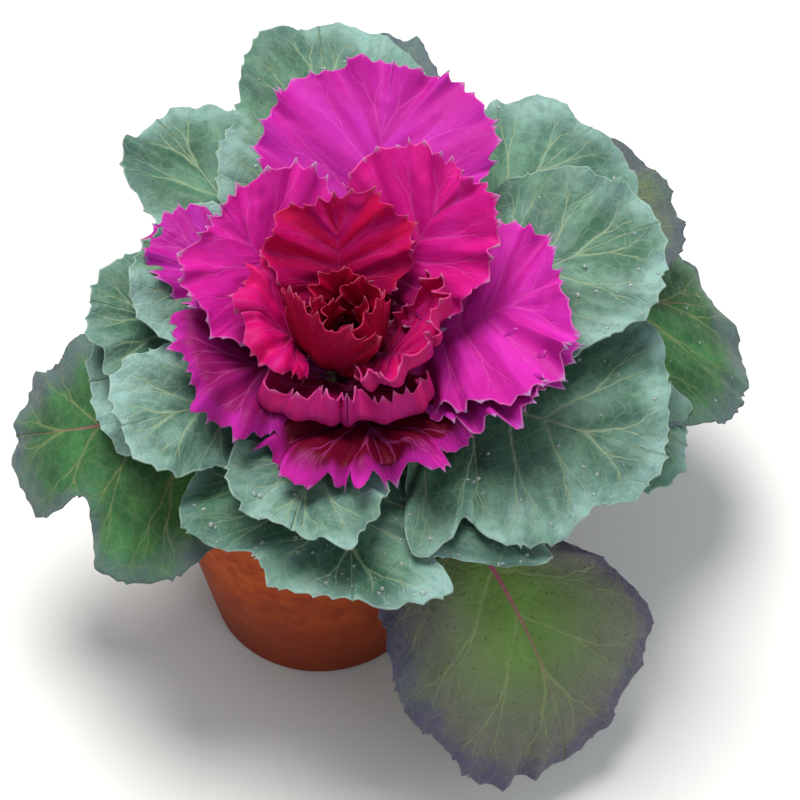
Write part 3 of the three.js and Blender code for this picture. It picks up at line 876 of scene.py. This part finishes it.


# %% [markdown]
# The veins are pale and turn purple near the stalk, and a fine net of smaller
# ones lies between them. The midrib of an old leaf is magenta almost all the
# way. The under side is paler. A line along the rim is partly wax and partly
# painted highlight on the green leaves, and the leaf's own grey-purple on old ones.

# %% Veins, under side and rim
def veined(leaf, place, look, net, vein, rib, tone):
    near = add_node(leaf, "MapRange", RAMP, place.along, look.red_to - 0.35, look.red_to, 1.0, 0.0)
    vein_tone = add_node(leaf, "Mix", BLEND, near, look.vein, look.vein_base)
    tone = add_node(leaf, "Mix", BLEND, add_node(leaf, "Math", MULTIPLY, net, 0.12), tone, vein_tone)
    vein_share = add_node(leaf, "Math", MULTIPLY, vein, look.vein_share)
    tone = add_node(leaf, "Mix", BLEND, vein_share, tone, vein_tone)
    red = add_node(leaf, "MapRange", RAMP, place.along, 0.35, 1.0, 0.85, 0.0)
    red = add_node(leaf, "Math", MULTIPLY, add_node(leaf, "Math", MULTIPLY, red, rib), look.red_rib)
    tone = add_node(leaf, "Mix", BLEND, red, tone, look.vein_base)
    under = add_node(leaf, "Math", MULTIPLY, place.under, 0.6)
    tone = add_node(leaf, "Mix", BLEND, under, tone, look.under)
    # Rim line: partly wax, partly painted highlight on the green leaves; the old leaves' own grey-purple.
    line = add_node(leaf, "MapRange", RAMP, place.rim, 0.2, 0.8, look.rim_share, 0.0)
    return add_node(leaf, "Mix", BLEND, line, tone, look.rim)


# %% [markdown]
# The layers go on one another, and the same veins and net also make the
# relief. They are sunk in the upper face and stand out on the under side. A
# satin roughness of about 0.5 gives the soft sheen of wax.

# %% Green and ageing leaves
LEAF_IOR = 1.42


def waxy_leaf(name, look):
    look = SimpleNamespace(**look)
    leaf = new_material(name)
    here = add_node(leaf, "TexCoord").outputs["Object"]
    place = leaf_coordinates(leaf)
    patches = add_node(leaf, "TexNoise", None, Vector=here, Scale=1 / (17 * MM), Detail=4.0)
    clouds = add_node(leaf, "TexNoise", None, Vector=here, Scale=1 / (45 * MM), Detail=3.0)
    grain = add_node(leaf, "TexNoise", None, Vector=here, Scale=1 / (2.4 * MM), Detail=3.0)
    wander = add_node(leaf, "Math", MULTIPLY_ADD, patches, 0.40, -0.20)
    side_vein, rib = forked_veins(leaf, place, wander, 0.85, 2.4)
    vein = add_node(leaf, "Math", MAXIMUM, side_vein, rib)
    cells = add_node(leaf, "TexVoronoi", {"feature": "DISTANCE_TO_EDGE"}, Vector=here, Scale=1 / (5.5 * MM))
    net = add_node(leaf, "MapRange", RAMP, cells, 0.0, 0.13, 1.0, 0.0)

    tone = waxy_green(leaf, here, place, look, patches, clouds)
    tone = worn(leaf, here, place, look, patches, clouds, tone)
    tone = veined(leaf, place, look, net, vein, rib, tone)

    sunk = add_node(leaf, "Math", MULTIPLY_ADD, place.under, 0.6, -0.16)
    height = add_node(leaf, "Math", MULTIPLY, vein, sunk)
    height = add_node(leaf, "Math", MULTIPLY_ADD, net, -0.12, height)
    height = add_node(leaf, "Math", MULTIPLY_ADD, grain, 0.22, height)
    bump = add_node(leaf, "Bump", None, Height=height, Strength=1.0, Distance=1.0 * MM)
    rough = add_node(leaf, "MapRange", RAMP, grain, 0.25, 0.75, look.rough - 0.08, look.rough + 0.08)
    shader = add_node(
        leaf, "BsdfPrincipled", None, Base_Color=tone, Roughness=rough, Normal=bump, IOR=LEAF_IOR,
        Specular_IOR_Level=0.32, Subsurface_Weight=0.06, Subsurface_Scale=1.0 * MM,
        Subsurface_Radius=(0.8, 1.0, 0.5), Sheen_Weight=0.02, Sheen_Roughness=0.5,
    )
    add_node(leaf, "OutputMaterial", None, shader)
    return leaf


GREEN_LOOK = {
    "dark": "29543c", "light": "4a7c58", "wax": "94b9b4", "wax_share": 0.85,
    "inner_dark": "264e30", "inner_light": "3f6c48", "inner_from": 0.15, "inner_to": 0.60,
    "streak": "1f4a34", "streak_share": 0.55,
    "edge": "6b7890", "edge_inner": "6b7890", "edge_pale": "6e8298", "edge_mm": 24.0, "edge_share": 0.7,
    "yellow": "7fa02c", "speck": "2c2c22",
    "vein": "94a884", "vein_base": "86486a", "red_to": 0.45, "red_rib": 0.1, "vein_share": 0.5,
    "under": "6f9086", "rim": "a9bfb2", "rim_share": 0.5, "rough": 0.52,
}
OLD_LOOK = {
    **GREEN_LOOK,
    "dark": "22522a", "light": "3f7a40", "wax": "5d8f6c", "wax_share": 0.42,
    "inner_dark": "2c5e1c", "inner_light": "55862a", "inner_from": 0.2, "inner_to": 0.7,
    "edge": "4c4462", "edge_inner": "605a5c", "edge_pale": "6c688a", "edge_mm": 76.0, "edge_share": 0.95,
    "streak": "1f4018", "streak_share": 0.35,
    "vein": "86915e", "vein_base": "a82c68", "red_to": 0.55, "red_rib": 1.0, "vein_share": 0.5,
    "rim": "6a6478", "rim_share": 0.3,
}
finishes = {
    "old_leaf": waxy_leaf("ageing kale leaf", OLD_LOOK),
    "green_leaf": waxy_leaf("waxy kale leaf", GREEN_LOOK),
}
print("finishes:", list(finishes))

# %% [markdown]
# The magenta leaves have no green left to hide their red and blue pigment.
# Outer ones are purple-pink, inner ones crimson, and every blade gets deeper
# towards its base. So the main colour is a ramp over the leaf's `age`.
# Dark streaks run out along the veins like the folds of a fan: partly the leaf's
# own tone, partly painted shade in the fold valleys. In a cupped blade, or one in
# the shade of others, everything further than a centimetre from the rim is
# painted dark wine red, as painted shade.

# %% Magenta
AGE_COLOURS = ((0.0, "b428a4"), (0.15, "ca2cae"), (0.40, "d01a90"), (0.60, "cc0c64"), (0.85, "be0444"),
               (1.0, "b00036"))


def rosette_pink(leaf, place, look, patches, streak):
    tone = add_node(leaf, "ValToRGB", None, place.age)
    stops = tone.color_ramp.elements
    for position, code in AGE_COLOURS[1:-1]:
        stops.new(position)
    for stop, (position, code) in zip(stops, AGE_COLOURS):
        stop.position = position
        stop.color = colour(code)
    # Dark where the fold relief is low: partly the leaf's own streaks, partly painted shade in the fold
    # valleys.
    streak_and_fold_shade_mask = add_node(leaf, "MapRange", RAMP, streak, 0.36, 0.66, 0.55, 0.0)
    tone = add_node(leaf, "Mix", BLEND, streak_and_fold_shade_mask, tone, look.streak)
    pale = add_node(leaf, "MapRange", RAMP, place.age, 0.3, 0.9, 0.35, 0.08)
    pale = add_node(leaf, "MapRange", RAMP, patches, 0.45, 0.75, 0.0, pale)
    tone = add_node(leaf, "Mix", BLEND, pale, tone, look.pale)
    deeper = add_node(leaf, "MapRange", RAMP, place.along, 0.12, look.base_to, 1.0, 0.0)
    amount = add_node(leaf, "MapRange", RAMP, place.age, 0.0, 0.5, 0.45, 0.95)
    deeper = add_node(leaf, "Math", MULTIPLY, deeper, amount)
    # Painted shade: further than about a centimetre from the rim, a cupped or overhung blade goes dark wine
    # red.
    cup_shade = add_node(leaf, "Math", MULTIPLY_ADD, patches, 8.0, place.rim)
    cup_shade = add_node(leaf, "MapRange", RAMP, cup_shade, 6.0, 14.0, 0.0, 1.0)
    cup_shade = add_node(leaf, "Math", MULTIPLY, cup_shade, place.deep)
    deeper = add_node(leaf, "Math", MAXIMUM, deeper, cup_shade)
    return add_node(leaf, "Mix", BLEND, deeper, tone, look.base)


# %% [markdown]
# The veins and the rim are lighter on the outer leaves and hardly show on the
# inner ones; the light rim line is partly painted highlight. The outer face is a
# paler, smoother purple-pink. The points of the teeth keep some bluish grey wax.

# %% Pale veins, rim and teeth
def pale_lines(leaf, place, look, vein, tone):
    share = look.vein_share
    paler = add_node(leaf, "MapRange", None, place.age, 0.2, 0.9, share, 0.3 * share)
    paler = add_node(leaf, "Math", MULTIPLY, vein, paler)
    tone = add_node(leaf, "Mix", BLEND, paler, tone, look.vein)
    under = add_node(leaf, "MapRange", RAMP, place.age, 0.1, 0.6, 0.55, 0.12)
    under = add_node(leaf, "Math", MULTIPLY, under, place.under)
    tone = add_node(leaf, "Mix", BLEND, under, tone, look.under)
    # Light rim line: partly the leaf's own edge, partly painted highlight.
    edge = add_node(leaf, "MapRange", RAMP, place.age, 0.0, 0.9, look.rim_share, 0.2 * look.rim_share)
    edge = add_node(leaf, "MapRange", RAMP, place.rim, 0.10, 0.50, edge, 0.0)
    tone = add_node(leaf, "Mix", BLEND, edge, tone, look.rim)
    tip = add_node(leaf, "MapRange", RAMP, place.age, 0.2, 0.8, look.tip_share, 0.15)
    tip = add_node(leaf, "MapRange", RAMP, place.rim, 0.3, 2.0, tip, 0.0)
    tip = add_node(
        leaf, "Math", MULTIPLY, tip, add_node(leaf, "MapRange", RAMP, place.tooth, 0.2, 0.75, 0.0, 1.0),
    )
    return add_node(leaf, "Mix", BLEND, tip, tone, look.tip)


# %% [markdown]
# The heart's leaves take the same finish with finer veins and redder tones.
# Streaks also make the relief here, as the folds of a crowded young leaf do.

# %% Magenta and heart leaves
def magenta_leaf(name, look):
    look = SimpleNamespace(**look)
    leaf = new_material(name)
    here = add_node(leaf, "TexCoord").outputs["Object"]
    place = leaf_coordinates(leaf)
    patches = add_node(leaf, "TexNoise", None, Vector=here, Scale=1 / (13 * MM), Detail=4.0)
    grain = add_node(leaf, "TexNoise", None, Vector=here, Scale=1 / (1.8 * MM), Detail=3.0)
    wander = add_node(leaf, "Math", MULTIPLY_ADD, patches, 0.36, -0.18)
    side_vein, rib = forked_veins(leaf, place, wander, look.vein_mm, look.rib_mm)
    vein = add_node(leaf, "Math", MAXIMUM, side_vein, rib)
    across = add_node(leaf, "Math", MULTIPLY, place.turn, 2.4)
    outwards = add_node(leaf, "Math", MULTIPLY, place.share, 0.8)
    fan = add_node(
        leaf, "CombineXYZ", None, across, outwards, add_node(leaf, "Math", MULTIPLY, place.age, 9.0),
    )
    streak = add_node(leaf, "TexNoise", None, Vector=fan, Scale=1.0, Detail=3.0)

    tone = rosette_pink(leaf, place, look, patches, streak)
    tone = pale_lines(leaf, place, look, vein, tone)

    sunk = add_node(leaf, "Math", MULTIPLY_ADD, place.under, 0.4, -0.10)
    height = add_node(leaf, "Math", MULTIPLY, vein, sunk)
    height = add_node(leaf, "Math", MULTIPLY_ADD, streak, 0.7, height)
    height = add_node(leaf, "Math", MULTIPLY_ADD, grain, 0.14, height)
    bump = add_node(leaf, "Bump", None, Height=height, Strength=1.0, Distance=1.0 * MM)
    rough = add_node(leaf, "MapRange", RAMP, grain, 0.25, 0.75, 0.46, 0.60)
    shader = add_node(
        leaf, "BsdfPrincipled", None, Base_Color=tone, Roughness=rough, Normal=bump, IOR=LEAF_IOR,
        Specular_IOR_Level=0.14, Subsurface_Weight=0.08, Subsurface_Scale=1.0 * MM,
        Subsurface_Radius=(1.0, 0.3, 0.6),
    )
    add_node(leaf, "OutputMaterial", None, shader)
    return leaf


MAGENTA_LOOK = {
    "streak": "a0086c", "pale": "d62fa8", "base": "5c0220", "base_to": 0.70,
    "vein": "dc5ab4", "vein_share": 0.22, "vein_mm": 0.8, "rib_mm": 1.7, "under": "cc58b4",
    "rim": "e88cc8", "rim_share": 0.40, "tip": "8f9ab0", "tip_share": 0.6,
}
HEART_LOOK = {
    **MAGENTA_LOOK, "streak": "860022", "pale": "be1048", "base": "56000f", "base_to": 0.8,
    "vein": "cc3474", "vein_share": 0.15, "vein_mm": 0.45, "rib_mm": 1.0, "under": "c03c80",
    "rim": "e07cac",
}
finishes["magenta_leaf"] = magenta_leaf("magenta kale leaf", MAGENTA_LOOK)
finishes["heart_leaf"] = magenta_leaf("crimson heart leaf", HEART_LOOK)
print("finishes:", list(finishes))

# %% [markdown]
# ## Making the leaves
#
# Each row of the list becomes a mesh. A seed of its own for every leaf makes
# sure that no two margins wave in the same way.

# %% Make every leaf
blades = {}
for index, leaf in enumerate(leaves):
    blade = build_leaf(leaf, 100 + 10 * index)
    blade.data.materials.append(finishes[leaf.kind])
    blades[leaf.node] = blade
counts = {node: sum(len(p.vertices) - 2 for p in blade.data.polygons) for node, blade in blades.items()}
print("leaf triangles:", sum(counts.values()), "most in one:", max(counts.values()))

# %% [markdown]
# ## Bodies of revolution
#
# The pot, the soil, the stem and the bud are all round. Each is a flat grid
# that is rolled up: its columns go round the axis, and its rows follow a
# profile that starts and ends on the axis. The seam and both ends are then
# welded, which closes the body.

# %% Rolled bodies
def finely(profile, step):
    """The profile with more points, so that no two are much more than a step apart."""
    points = [profile[0]]
    for start, end in zip(profile, profile[1:]):
        count = max(1, round(math.dist(start, end) / step))
        points += [tuple(a + (b - a) * i / count for a, b in zip(start, end)) for i in range(1, count + 1)]
    return np.array(points)


def rolled(name, profile, columns, to_place, growth=None):
    """A closed body. to_place maps mm to the frame, and growth gives mm to add to the radius."""
    deselect()
    rows = len(profile) - 1
    bpy.ops.mesh.primitive_grid_add(x_subdivisions=columns, y_subdivisions=rows, size=2)
    obj = bpy.context.object
    obj.name = name
    flat = places(obj.data)
    turn = 2 * math.pi * (np.rint((flat[:, 0] + 1) / 2 * columns) % columns) / columns
    radius, height = profile[np.rint((flat[:, 1] + 1) / 2 * rows).astype(int)].T
    if growth:
        radius = np.where(radius > 0, radius + growth(turn, radius, height), 0)
    points = np.stack([radius * np.cos(turn), radius * np.sin(turn), height], -1)
    obj.data.vertices.foreach_set("co", to_place(points).ravel())
    obj.data.update()
    weld(obj)
    bpy.ops.object.mode_set(mode="EDIT")
    bpy.ops.mesh.normals_make_consistent(inside=False)
    bpy.ops.object.mode_set(mode="OBJECT")
    return obj


def pick(obj):
    """Makes this the only selected object, and the active one."""
    deselect()
    obj.select_set(True)
    bpy.context.view_layer.objects.active = obj


def cut(body, tool):
    """Takes the tool's shape out of the body and removes the tool."""
    pick(body)
    modifier = body.modifiers.new("cut", "BOOLEAN")
    modifier.operation = "DIFFERENCE"
    modifier.solver = "EXACT"
    modifier.object = tool
    bpy.ops.object.modifier_apply(modifier=modifier.name)
    bpy.data.objects.remove(tool)


def settle(obj, node, material, angle):
    """Smooth shading with sharp edges kept, the finish, and the plain part of its node hidden."""
    pick(obj)
    bpy.ops.object.shade_smooth_by_angle(angle=math.radians(angle))
    obj.data.materials.append(material)
    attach(obj, "root")
    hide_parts(node)
    print(node, "faces:", len(obj.data.polygons))


# %% [markdown]
# ## Pot
#
# A terracotta pot is pressed or turned from wet clay, and fired. So its edges
# are soft, its wall isn't perfectly round and fine turning lines run around
# it. Three holes in the floor let water out.

# %% Pot
POT_PROFILE = [
    (0, 0), (45.0, 0), (46.4, 0.6), (47.0, 2.0), (60.8, 90.8), (61.2, 91.6), (62.2, 92.0),
    (63.4, 92.1), (64.0, 92.7), (64.2, 94.0), (66.0, 109.6), (65.7, 110.9), (65.0, 111.7), (63.8, 112.0),
    (61.2, 112.0), (60.0, 111.6), (59.3, 110.6), (59.0, 109.0), (43.6, 7.4), (42.6, 6.2), (41.0, 6.0),
    (0, 6.0),
]
DRAIN_RADIUS = 5.0
DRAIN_CIRCLE = 24.0
DRAIN_COUNT = 3
DRAIN_TURN = 0.25


def hand_turned(turn, radius, height):
    """The wall's slow unevenness, in mm, which fades out at the base."""
    slow = 0.22 * np.sin(2 * turn + 0.8 + height / 60) + 0.12 * np.sin(3 * turn - height / 25)
    lines = 0.05 * np.sin(2 * math.pi * height / 3.1 + 0.5 * np.sin(turn))
    return (slow + lines) * smooth(0, 12, height) * smooth(20, 40, radius)


pot = rolled("fired_pot", finely(POT_PROFILE, 1.5), 144, lambda points: points * MM, hand_turned)
for index in range(DRAIN_COUNT):
    turn = 2 * math.pi * (index + DRAIN_TURN) / DRAIN_COUNT
    hole = (DRAIN_CIRCLE * MM * math.cos(turn), DRAIN_CIRCLE * MM * math.sin(turn), 0)
    bpy.ops.mesh.primitive_cylinder_add(vertices=32, radius=DRAIN_RADIUS * MM, depth=24 * MM, location=hole)
    cut(pot, bpy.context.object)
print("holes in the pot:", DRAIN_COUNT)

# %% [markdown]
# The clay takes up water, so it is darker and redder low down, and lime dries
# to a pale bloom higher up. Dark grains and fine pits give it a rough face.

# %% Fired clay
def fired_clay():
    clay = new_material("damp terracotta")
    here = add_node(clay, "TexCoord").outputs["Object"]
    height = add_node(clay, "SeparateXYZ", None, here).outputs["Z"]
    clouds = add_node(clay, "TexNoise", None, Vector=here, Scale=1 / (28 * MM), Detail=5.0)
    blotches = add_node(clay, "TexNoise", None, Vector=here, Scale=1 / (7 * MM), Detail=4.0)
    grit = add_node(clay, "TexNoise", None, Vector=here, Scale=1 / (0.7 * MM), Detail=3.0)
    grains = add_node(clay, "TexVoronoi", None, Vector=here, Scale=1 / (2.3 * MM))
    grain = add_node(clay, "MapRange", RAMP, grains, 0.10, 0.22, 1.0, 0.0)
    tone = add_node(clay, "MapRange", RAMP, blotches, 0.3, 0.7, 0.0, 1.0)
    tone = add_node(clay, "Mix", BLEND, tone, "94360c", "b14c16")
    wet_line = add_node(clay, "Math", MULTIPLY_ADD, clouds, 60 * MM, height)
    wet = add_node(clay, "MapRange", RAMP, wet_line, 50 * MM, 118 * MM, 0.75, 0.0)
    tone = add_node(clay, "Mix", BLEND, wet, tone, "782404")
    lime = add_node(clay, "MapRange", RAMP, clouds, 0.50, 0.72, 0.0, 0.12)
    lime = add_node(
        clay, "Math", MULTIPLY, lime, add_node(clay, "MapRange", RAMP, height, 0.05, 0.11, 0.1, 1.0),
    )
    tone = add_node(clay, "Mix", BLEND, lime, tone, "c07a50")
    tone = add_node(clay, "Mix", BLEND, add_node(clay, "Math", MULTIPLY, grain, 0.22), tone, "5a2410")
    relief = add_node(clay, "Math", MULTIPLY_ADD, grain, -0.5, grit)
    relief = add_node(clay, "Math", MULTIPLY_ADD, blotches, 0.8, relief)
    bump = add_node(clay, "Bump", None, Height=relief, Strength=0.5, Distance=0.3 * MM)
    rough = add_node(clay, "MapRange", RAMP, wet, 0.0, 0.75, 0.88, 0.62)
    shader = add_node(
        clay, "BsdfPrincipled", None, Base_Color=tone, Roughness=rough, Normal=bump, IOR=1.5,
        Specular_IOR_Level=0.25,
    )
    add_node(clay, "OutputMaterial", None, shader)
    return clay


settle(pot, "pot", fired_clay(), 40)

# %% [markdown]
# ## Stem
#
# The stem is a short thick column, a little ridged below each leaf, and it
# goes on into the soil as the root. It is woody and brown below, and pale
# green with fine fibres above.

# %% Stem
STEM_PROFILE = [(0, -50), (4, -50), (9.5, -25), (9.5, 0), (5.0, 40), (0, 40)]
LEAF_RIDGES = 5
RIDGE_DEPTH = 0.5


def ridged(turn, radius, height):
    """Ridges that wind up the stem, cut in, so the leaves' stalks stay clear of it."""
    wave = 0.5 - 0.5 * np.sin(LEAF_RIDGES * turn + 0.4 * height)
    scars = 0.5 - 0.5 * np.sin(height * 1.1 + 2 * turn)
    return -RIDGE_DEPTH * (0.7 * wave + 0.3 * scars) * smooth(2, 5, radius)


def fibrous_stem():
    stem = new_material("pale woody stem")
    here = add_node(stem, "TexCoord").outputs["Object"]
    height = add_node(stem, "SeparateXYZ", None, here).outputs["Z"]
    long_way = add_node(stem, "VectorMath", {"operation": "MULTIPLY"}, here, (1.0, 1.0, 0.2))
    fibres = add_node(stem, "TexNoise", None, Vector=long_way, Scale=1 / (1.5 * MM), Detail=3.0)
    tone = add_node(stem, "MapRange", RAMP, fibres, 0.35, 0.65, 0.0, 1.0)
    tone = add_node(stem, "Mix", BLEND, tone, "7d8f58", "a8b383")
    low = add_node(stem, "MapRange", RAMP, height, 95 * MM, 125 * MM, 0.9, 0.0)
    tone = add_node(stem, "Mix", BLEND, low, tone, "7a6a48")
    bump = add_node(stem, "Bump", None, Height=fibres, Strength=0.6, Distance=0.5 * MM)
    shader = add_node(stem, "BsdfPrincipled", None, Base_Color=tone, Roughness=0.6, Normal=bump)
    add_node(stem, "OutputMaterial", None, shader)
    return stem


stem = rolled("woody_stem", finely(STEM_PROFILE, 1.0), 48, to_frame, ridged)
settle(stem, "stem", fibrous_stem(), 40)

# %% [markdown]
# ## Soil
#
# The soil fills the pot up to a finger's breadth below its rim. The top is
# lumpy from watering. The stem's shape, made a little wider, is cut out of
# it, so that neither is inside the other.

# %% Soil
SOIL_PROFILE = [(0, 6.3), (42.7, 6.3), (56.7, 98.4), (55.5, 99.0), (28.0, 101.0), (0, 101.8)]
SOIL_HIGHEST = 103.3


def lumpy(points):
    """Lumps on the soil's top only."""
    x, y, z = points.T
    lump = uneven(x + 0.4 * y, 9, 51) * uneven(y - 0.4 * x, 8, 52) + 0.5 * uneven(x - y, 4, 53)
    reach = np.hypot(x, y)
    top = (z > 98.6) * (1 - smooth(50, 55, reach))
    return np.stack([x, y, np.minimum(z + 0.9 * lump * top, SOIL_HIGHEST)], -1) * MM


soil = rolled("potting_soil", finely(SOIL_PROFILE, 1.2), 120, lumpy)
wider = [(radius + GAP if radius else 0, height) for radius, height in STEM_PROFILE]
wider[0], wider[1] = (0, -50.3), (4.3, -50.3)
cut(soil, rolled("stem_hollow", finely(wider, 2.0), 48, to_frame))

print("soil faces:", len(soil.data.polygons))

# %% [markdown]
# Crumbs lie loose on the top, more than a hundred of them. Small round shapes
# with few faces are enough, since leaves hide nearly all of them. They are
# added in edit mode, so they become part of the soil.

# %% Crumbs
CRUMBS = 140
CRUMB_SIZES = (0.7, 1.9)
CRUMB_CIRCLES = (24, 53)

draw = np.random.default_rng(60)
pick(soil)
bpy.ops.object.mode_set(mode="EDIT")
for index in range(CRUMBS):
    size = draw.uniform(*CRUMB_SIZES)
    turn = draw.uniform(0, 2 * math.pi)
    reach = draw.uniform(*CRUMB_CIRCLES)
    height = min(99.5 + 1.6 * (1 - reach / 55), SOIL_HIGHEST - size)
    place = Vector((reach * math.cos(turn), reach * math.sin(turn), height)) * MM
    bpy.ops.mesh.primitive_ico_sphere_add(
        subdivisions=1, radius=size * MM, location=place, rotation=draw.uniform(0, 3, 3),
        scale=(1.0, draw.uniform(0.6, 1.0), draw.uniform(0.6, 0.9)),
    )
bpy.ops.object.mode_set(mode="OBJECT")
print("crumbs:", CRUMBS)

# %% [markdown]
# Moist peat is nearly black, with lighter dry lumps and brown bits of bark.
# It has no shine at all.

# %% Potting soil
def garden_soil():
    soil = new_material("moist potting soil")
    here = add_node(soil, "TexCoord").outputs["Object"]
    lumps = add_node(soil, "TexNoise", None, Vector=here, Scale=1 / (3 * MM), Detail=6.0)
    bits = add_node(soil, "TexVoronoi", None, Vector=here, Scale=1 / (2 * MM))
    tone = add_node(soil, "MapRange", RAMP, lumps, 0.35, 0.65, 0.0, 1.0)
    tone = add_node(soil, "Mix", BLEND, tone, "1e140c", "41301f")
    bark = add_node(soil, "MapRange", RAMP, bits, 0.12, 0.25, 0.5, 0.0)
    tone = add_node(soil, "Mix", BLEND, bark, tone, "6b4a2c")
    bump = add_node(soil, "Bump", None, Height=lumps, Strength=0.9, Distance=0.8 * MM)
    shader = add_node(soil, "BsdfPrincipled", None, Base_Color=tone, Roughness=0.93, Normal=bump)
    add_node(soil, "OutputMaterial", None, shader)
    return soil


settle(soil, "soil", garden_soil(), 50)

# %% [markdown]
# ## Bud
#
# The bud in the middle holds the leaves that are still folded. They wrap
# round it like a spiral, so it has winding ridges and a blunt point.

# %% Bud
BUD_RADIUS = 4.4
BUD_FOOT = 40.35
BUD_HEIGHT = 10.8
bud_rise = np.linspace(0, 1, 41)
BUD_PROFILE = np.stack([
    BUD_RADIUS * np.sin(math.pi * bud_rise ** 0.8) ** 0.85, BUD_FOOT + BUD_HEIGHT * bud_rise,
], -1)
BUD_PROFILE[[0, -1], 0] = 0
WRAP_DEPTH = 0.8


def wrapped(turn, radius, height):
    wave = np.abs(np.sin(1.5 * turn + 0.33 * height)) ** 0.6
    return -WRAP_DEPTH * (1 - wave) * smooth(0.5, 3, radius)


def crimson_bud():
    bud = new_material("crimson bud")
    here = add_node(bud, "TexCoord").outputs["Object"]
    patches = add_node(bud, "TexNoise", None, Vector=here, Scale=1 / (3 * MM), Detail=3.0)
    tone = add_node(bud, "MapRange", RAMP, patches, 0.35, 0.65, 0.0, 1.0)
    tone = add_node(bud, "Mix", BLEND, tone, "6a0420", "a81850")
    bump = add_node(bud, "Bump", None, Height=patches, Strength=0.4, Distance=0.4 * MM)
    shader = add_node(
        bud, "BsdfPrincipled", None, Base_Color=tone, Roughness=0.5, Normal=bump, IOR=LEAF_IOR,
    )
    add_node(bud, "OutputMaterial", None, shader)
    return bud


bud = rolled("folded_bud", BUD_PROFILE, 48, to_frame, wrapped)
settle(bud, "heart_bud", crimson_bud(), 60)

# %% [markdown]
# ## Drops of water
#
# Wax makes water pearl on the green leaves, so small round drops sit on the
# lower ones, most of them near the margins. Each is a small sphere that is
# flattened and pressed to the blade at a random point of its upper face. The
# drops on one leaf are one object.

# %% Drops
DROPS = {
    "green_leaf_04": 130, "green_leaf_07": 90, "old_leaf_06": 70, "green_leaf_08": 20, "green_leaf_11": 30,
    "green_leaf_06": 12, "green_leaf_12": 40,
}
DROP_SIZES = (0.4, 1.15)
DROP_HEIGHT = 0.75
DROP_FOOT = 0.15

water_with_painted_glint = new_material("water_with_painted_glint")
# Painted highlight: the whitish, partly diffuse share of the finish stands in for the bright glints of real
# drops; the rest is clear water.
clear = add_node(
    water_with_painted_glint, "BsdfPrincipled", None, Base_Color="eef4f4", Roughness=0.04, IOR=1.333,
    Transmission_Weight=0.75,
)
add_node(water_with_painted_glint, "OutputMaterial", None, clear)


def attribute_of(mesh, name, size):
    key = "value" if size == 1 else "vector"
    flat = np.empty(size * len(mesh.vertices))
    mesh.attributes[name].data.foreach_get(key, flat)
    return flat if size == 1 else flat.reshape(-1, size)


def drops_on(node, count, seed):
    """Drops on the upper face of one blade, as one object."""
    mesh = blades[node].data
    points = places(mesh)
    normals = np.array([vertex.normal[:] for vertex in mesh.vertices])
    share = attribute_of(mesh, "blade", 3)[:, 0]
    upper = attribute_of(mesh, "under", 1) < 0.5
    good = np.flatnonzero(upper & (share > 0.2) & (share < 0.98) & (normals[:, 2] > 0.3))
    draw = np.random.default_rng(seed)
    chosen = draw.choice(good, count, replace=False)
    sizes = DROP_SIZES[0] + (DROP_SIZES[1] - DROP_SIZES[0]) * draw.random(count) ** 2
    deselect()
    for number in range(count):
        bpy.ops.mesh.primitive_ico_sphere_add(subdivisions=2, radius=1)
        if number == 0:
            obj = bpy.context.object
            bpy.ops.object.mode_set(mode="EDIT")
    bpy.ops.object.mode_set(mode="OBJECT")
    obj.name = "drops_on_" + node
    ball = places(obj.data).reshape(count, -1, 3)
    for number, (index, size) in enumerate(zip(chosen, sizes)):
        up = Vector(normals[index])
        turn = np.array(up.to_track_quat("Z", "Y").to_matrix())
        shape = ball[number] * (1, 1, DROP_HEIGHT)
        shape[:, 2] = np.where(shape[:, 2] < 0, shape[:, 2] * DROP_FOOT, shape[:, 2])
        ball[number] = points[index] + (shape * size * MM) @ turn.T
    obj.data.vertices.foreach_set("co", ball.ravel())
    obj.data.update()
    pick(obj)
    bpy.ops.object.shade_smooth()
    obj.data.materials.append(water_with_painted_glint)
    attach(obj, "root")


for index, (node, count) in enumerate(DROPS.items()):
    drops_on(node, count, 700 + index)
print("drops:", sum(DROPS.values()))
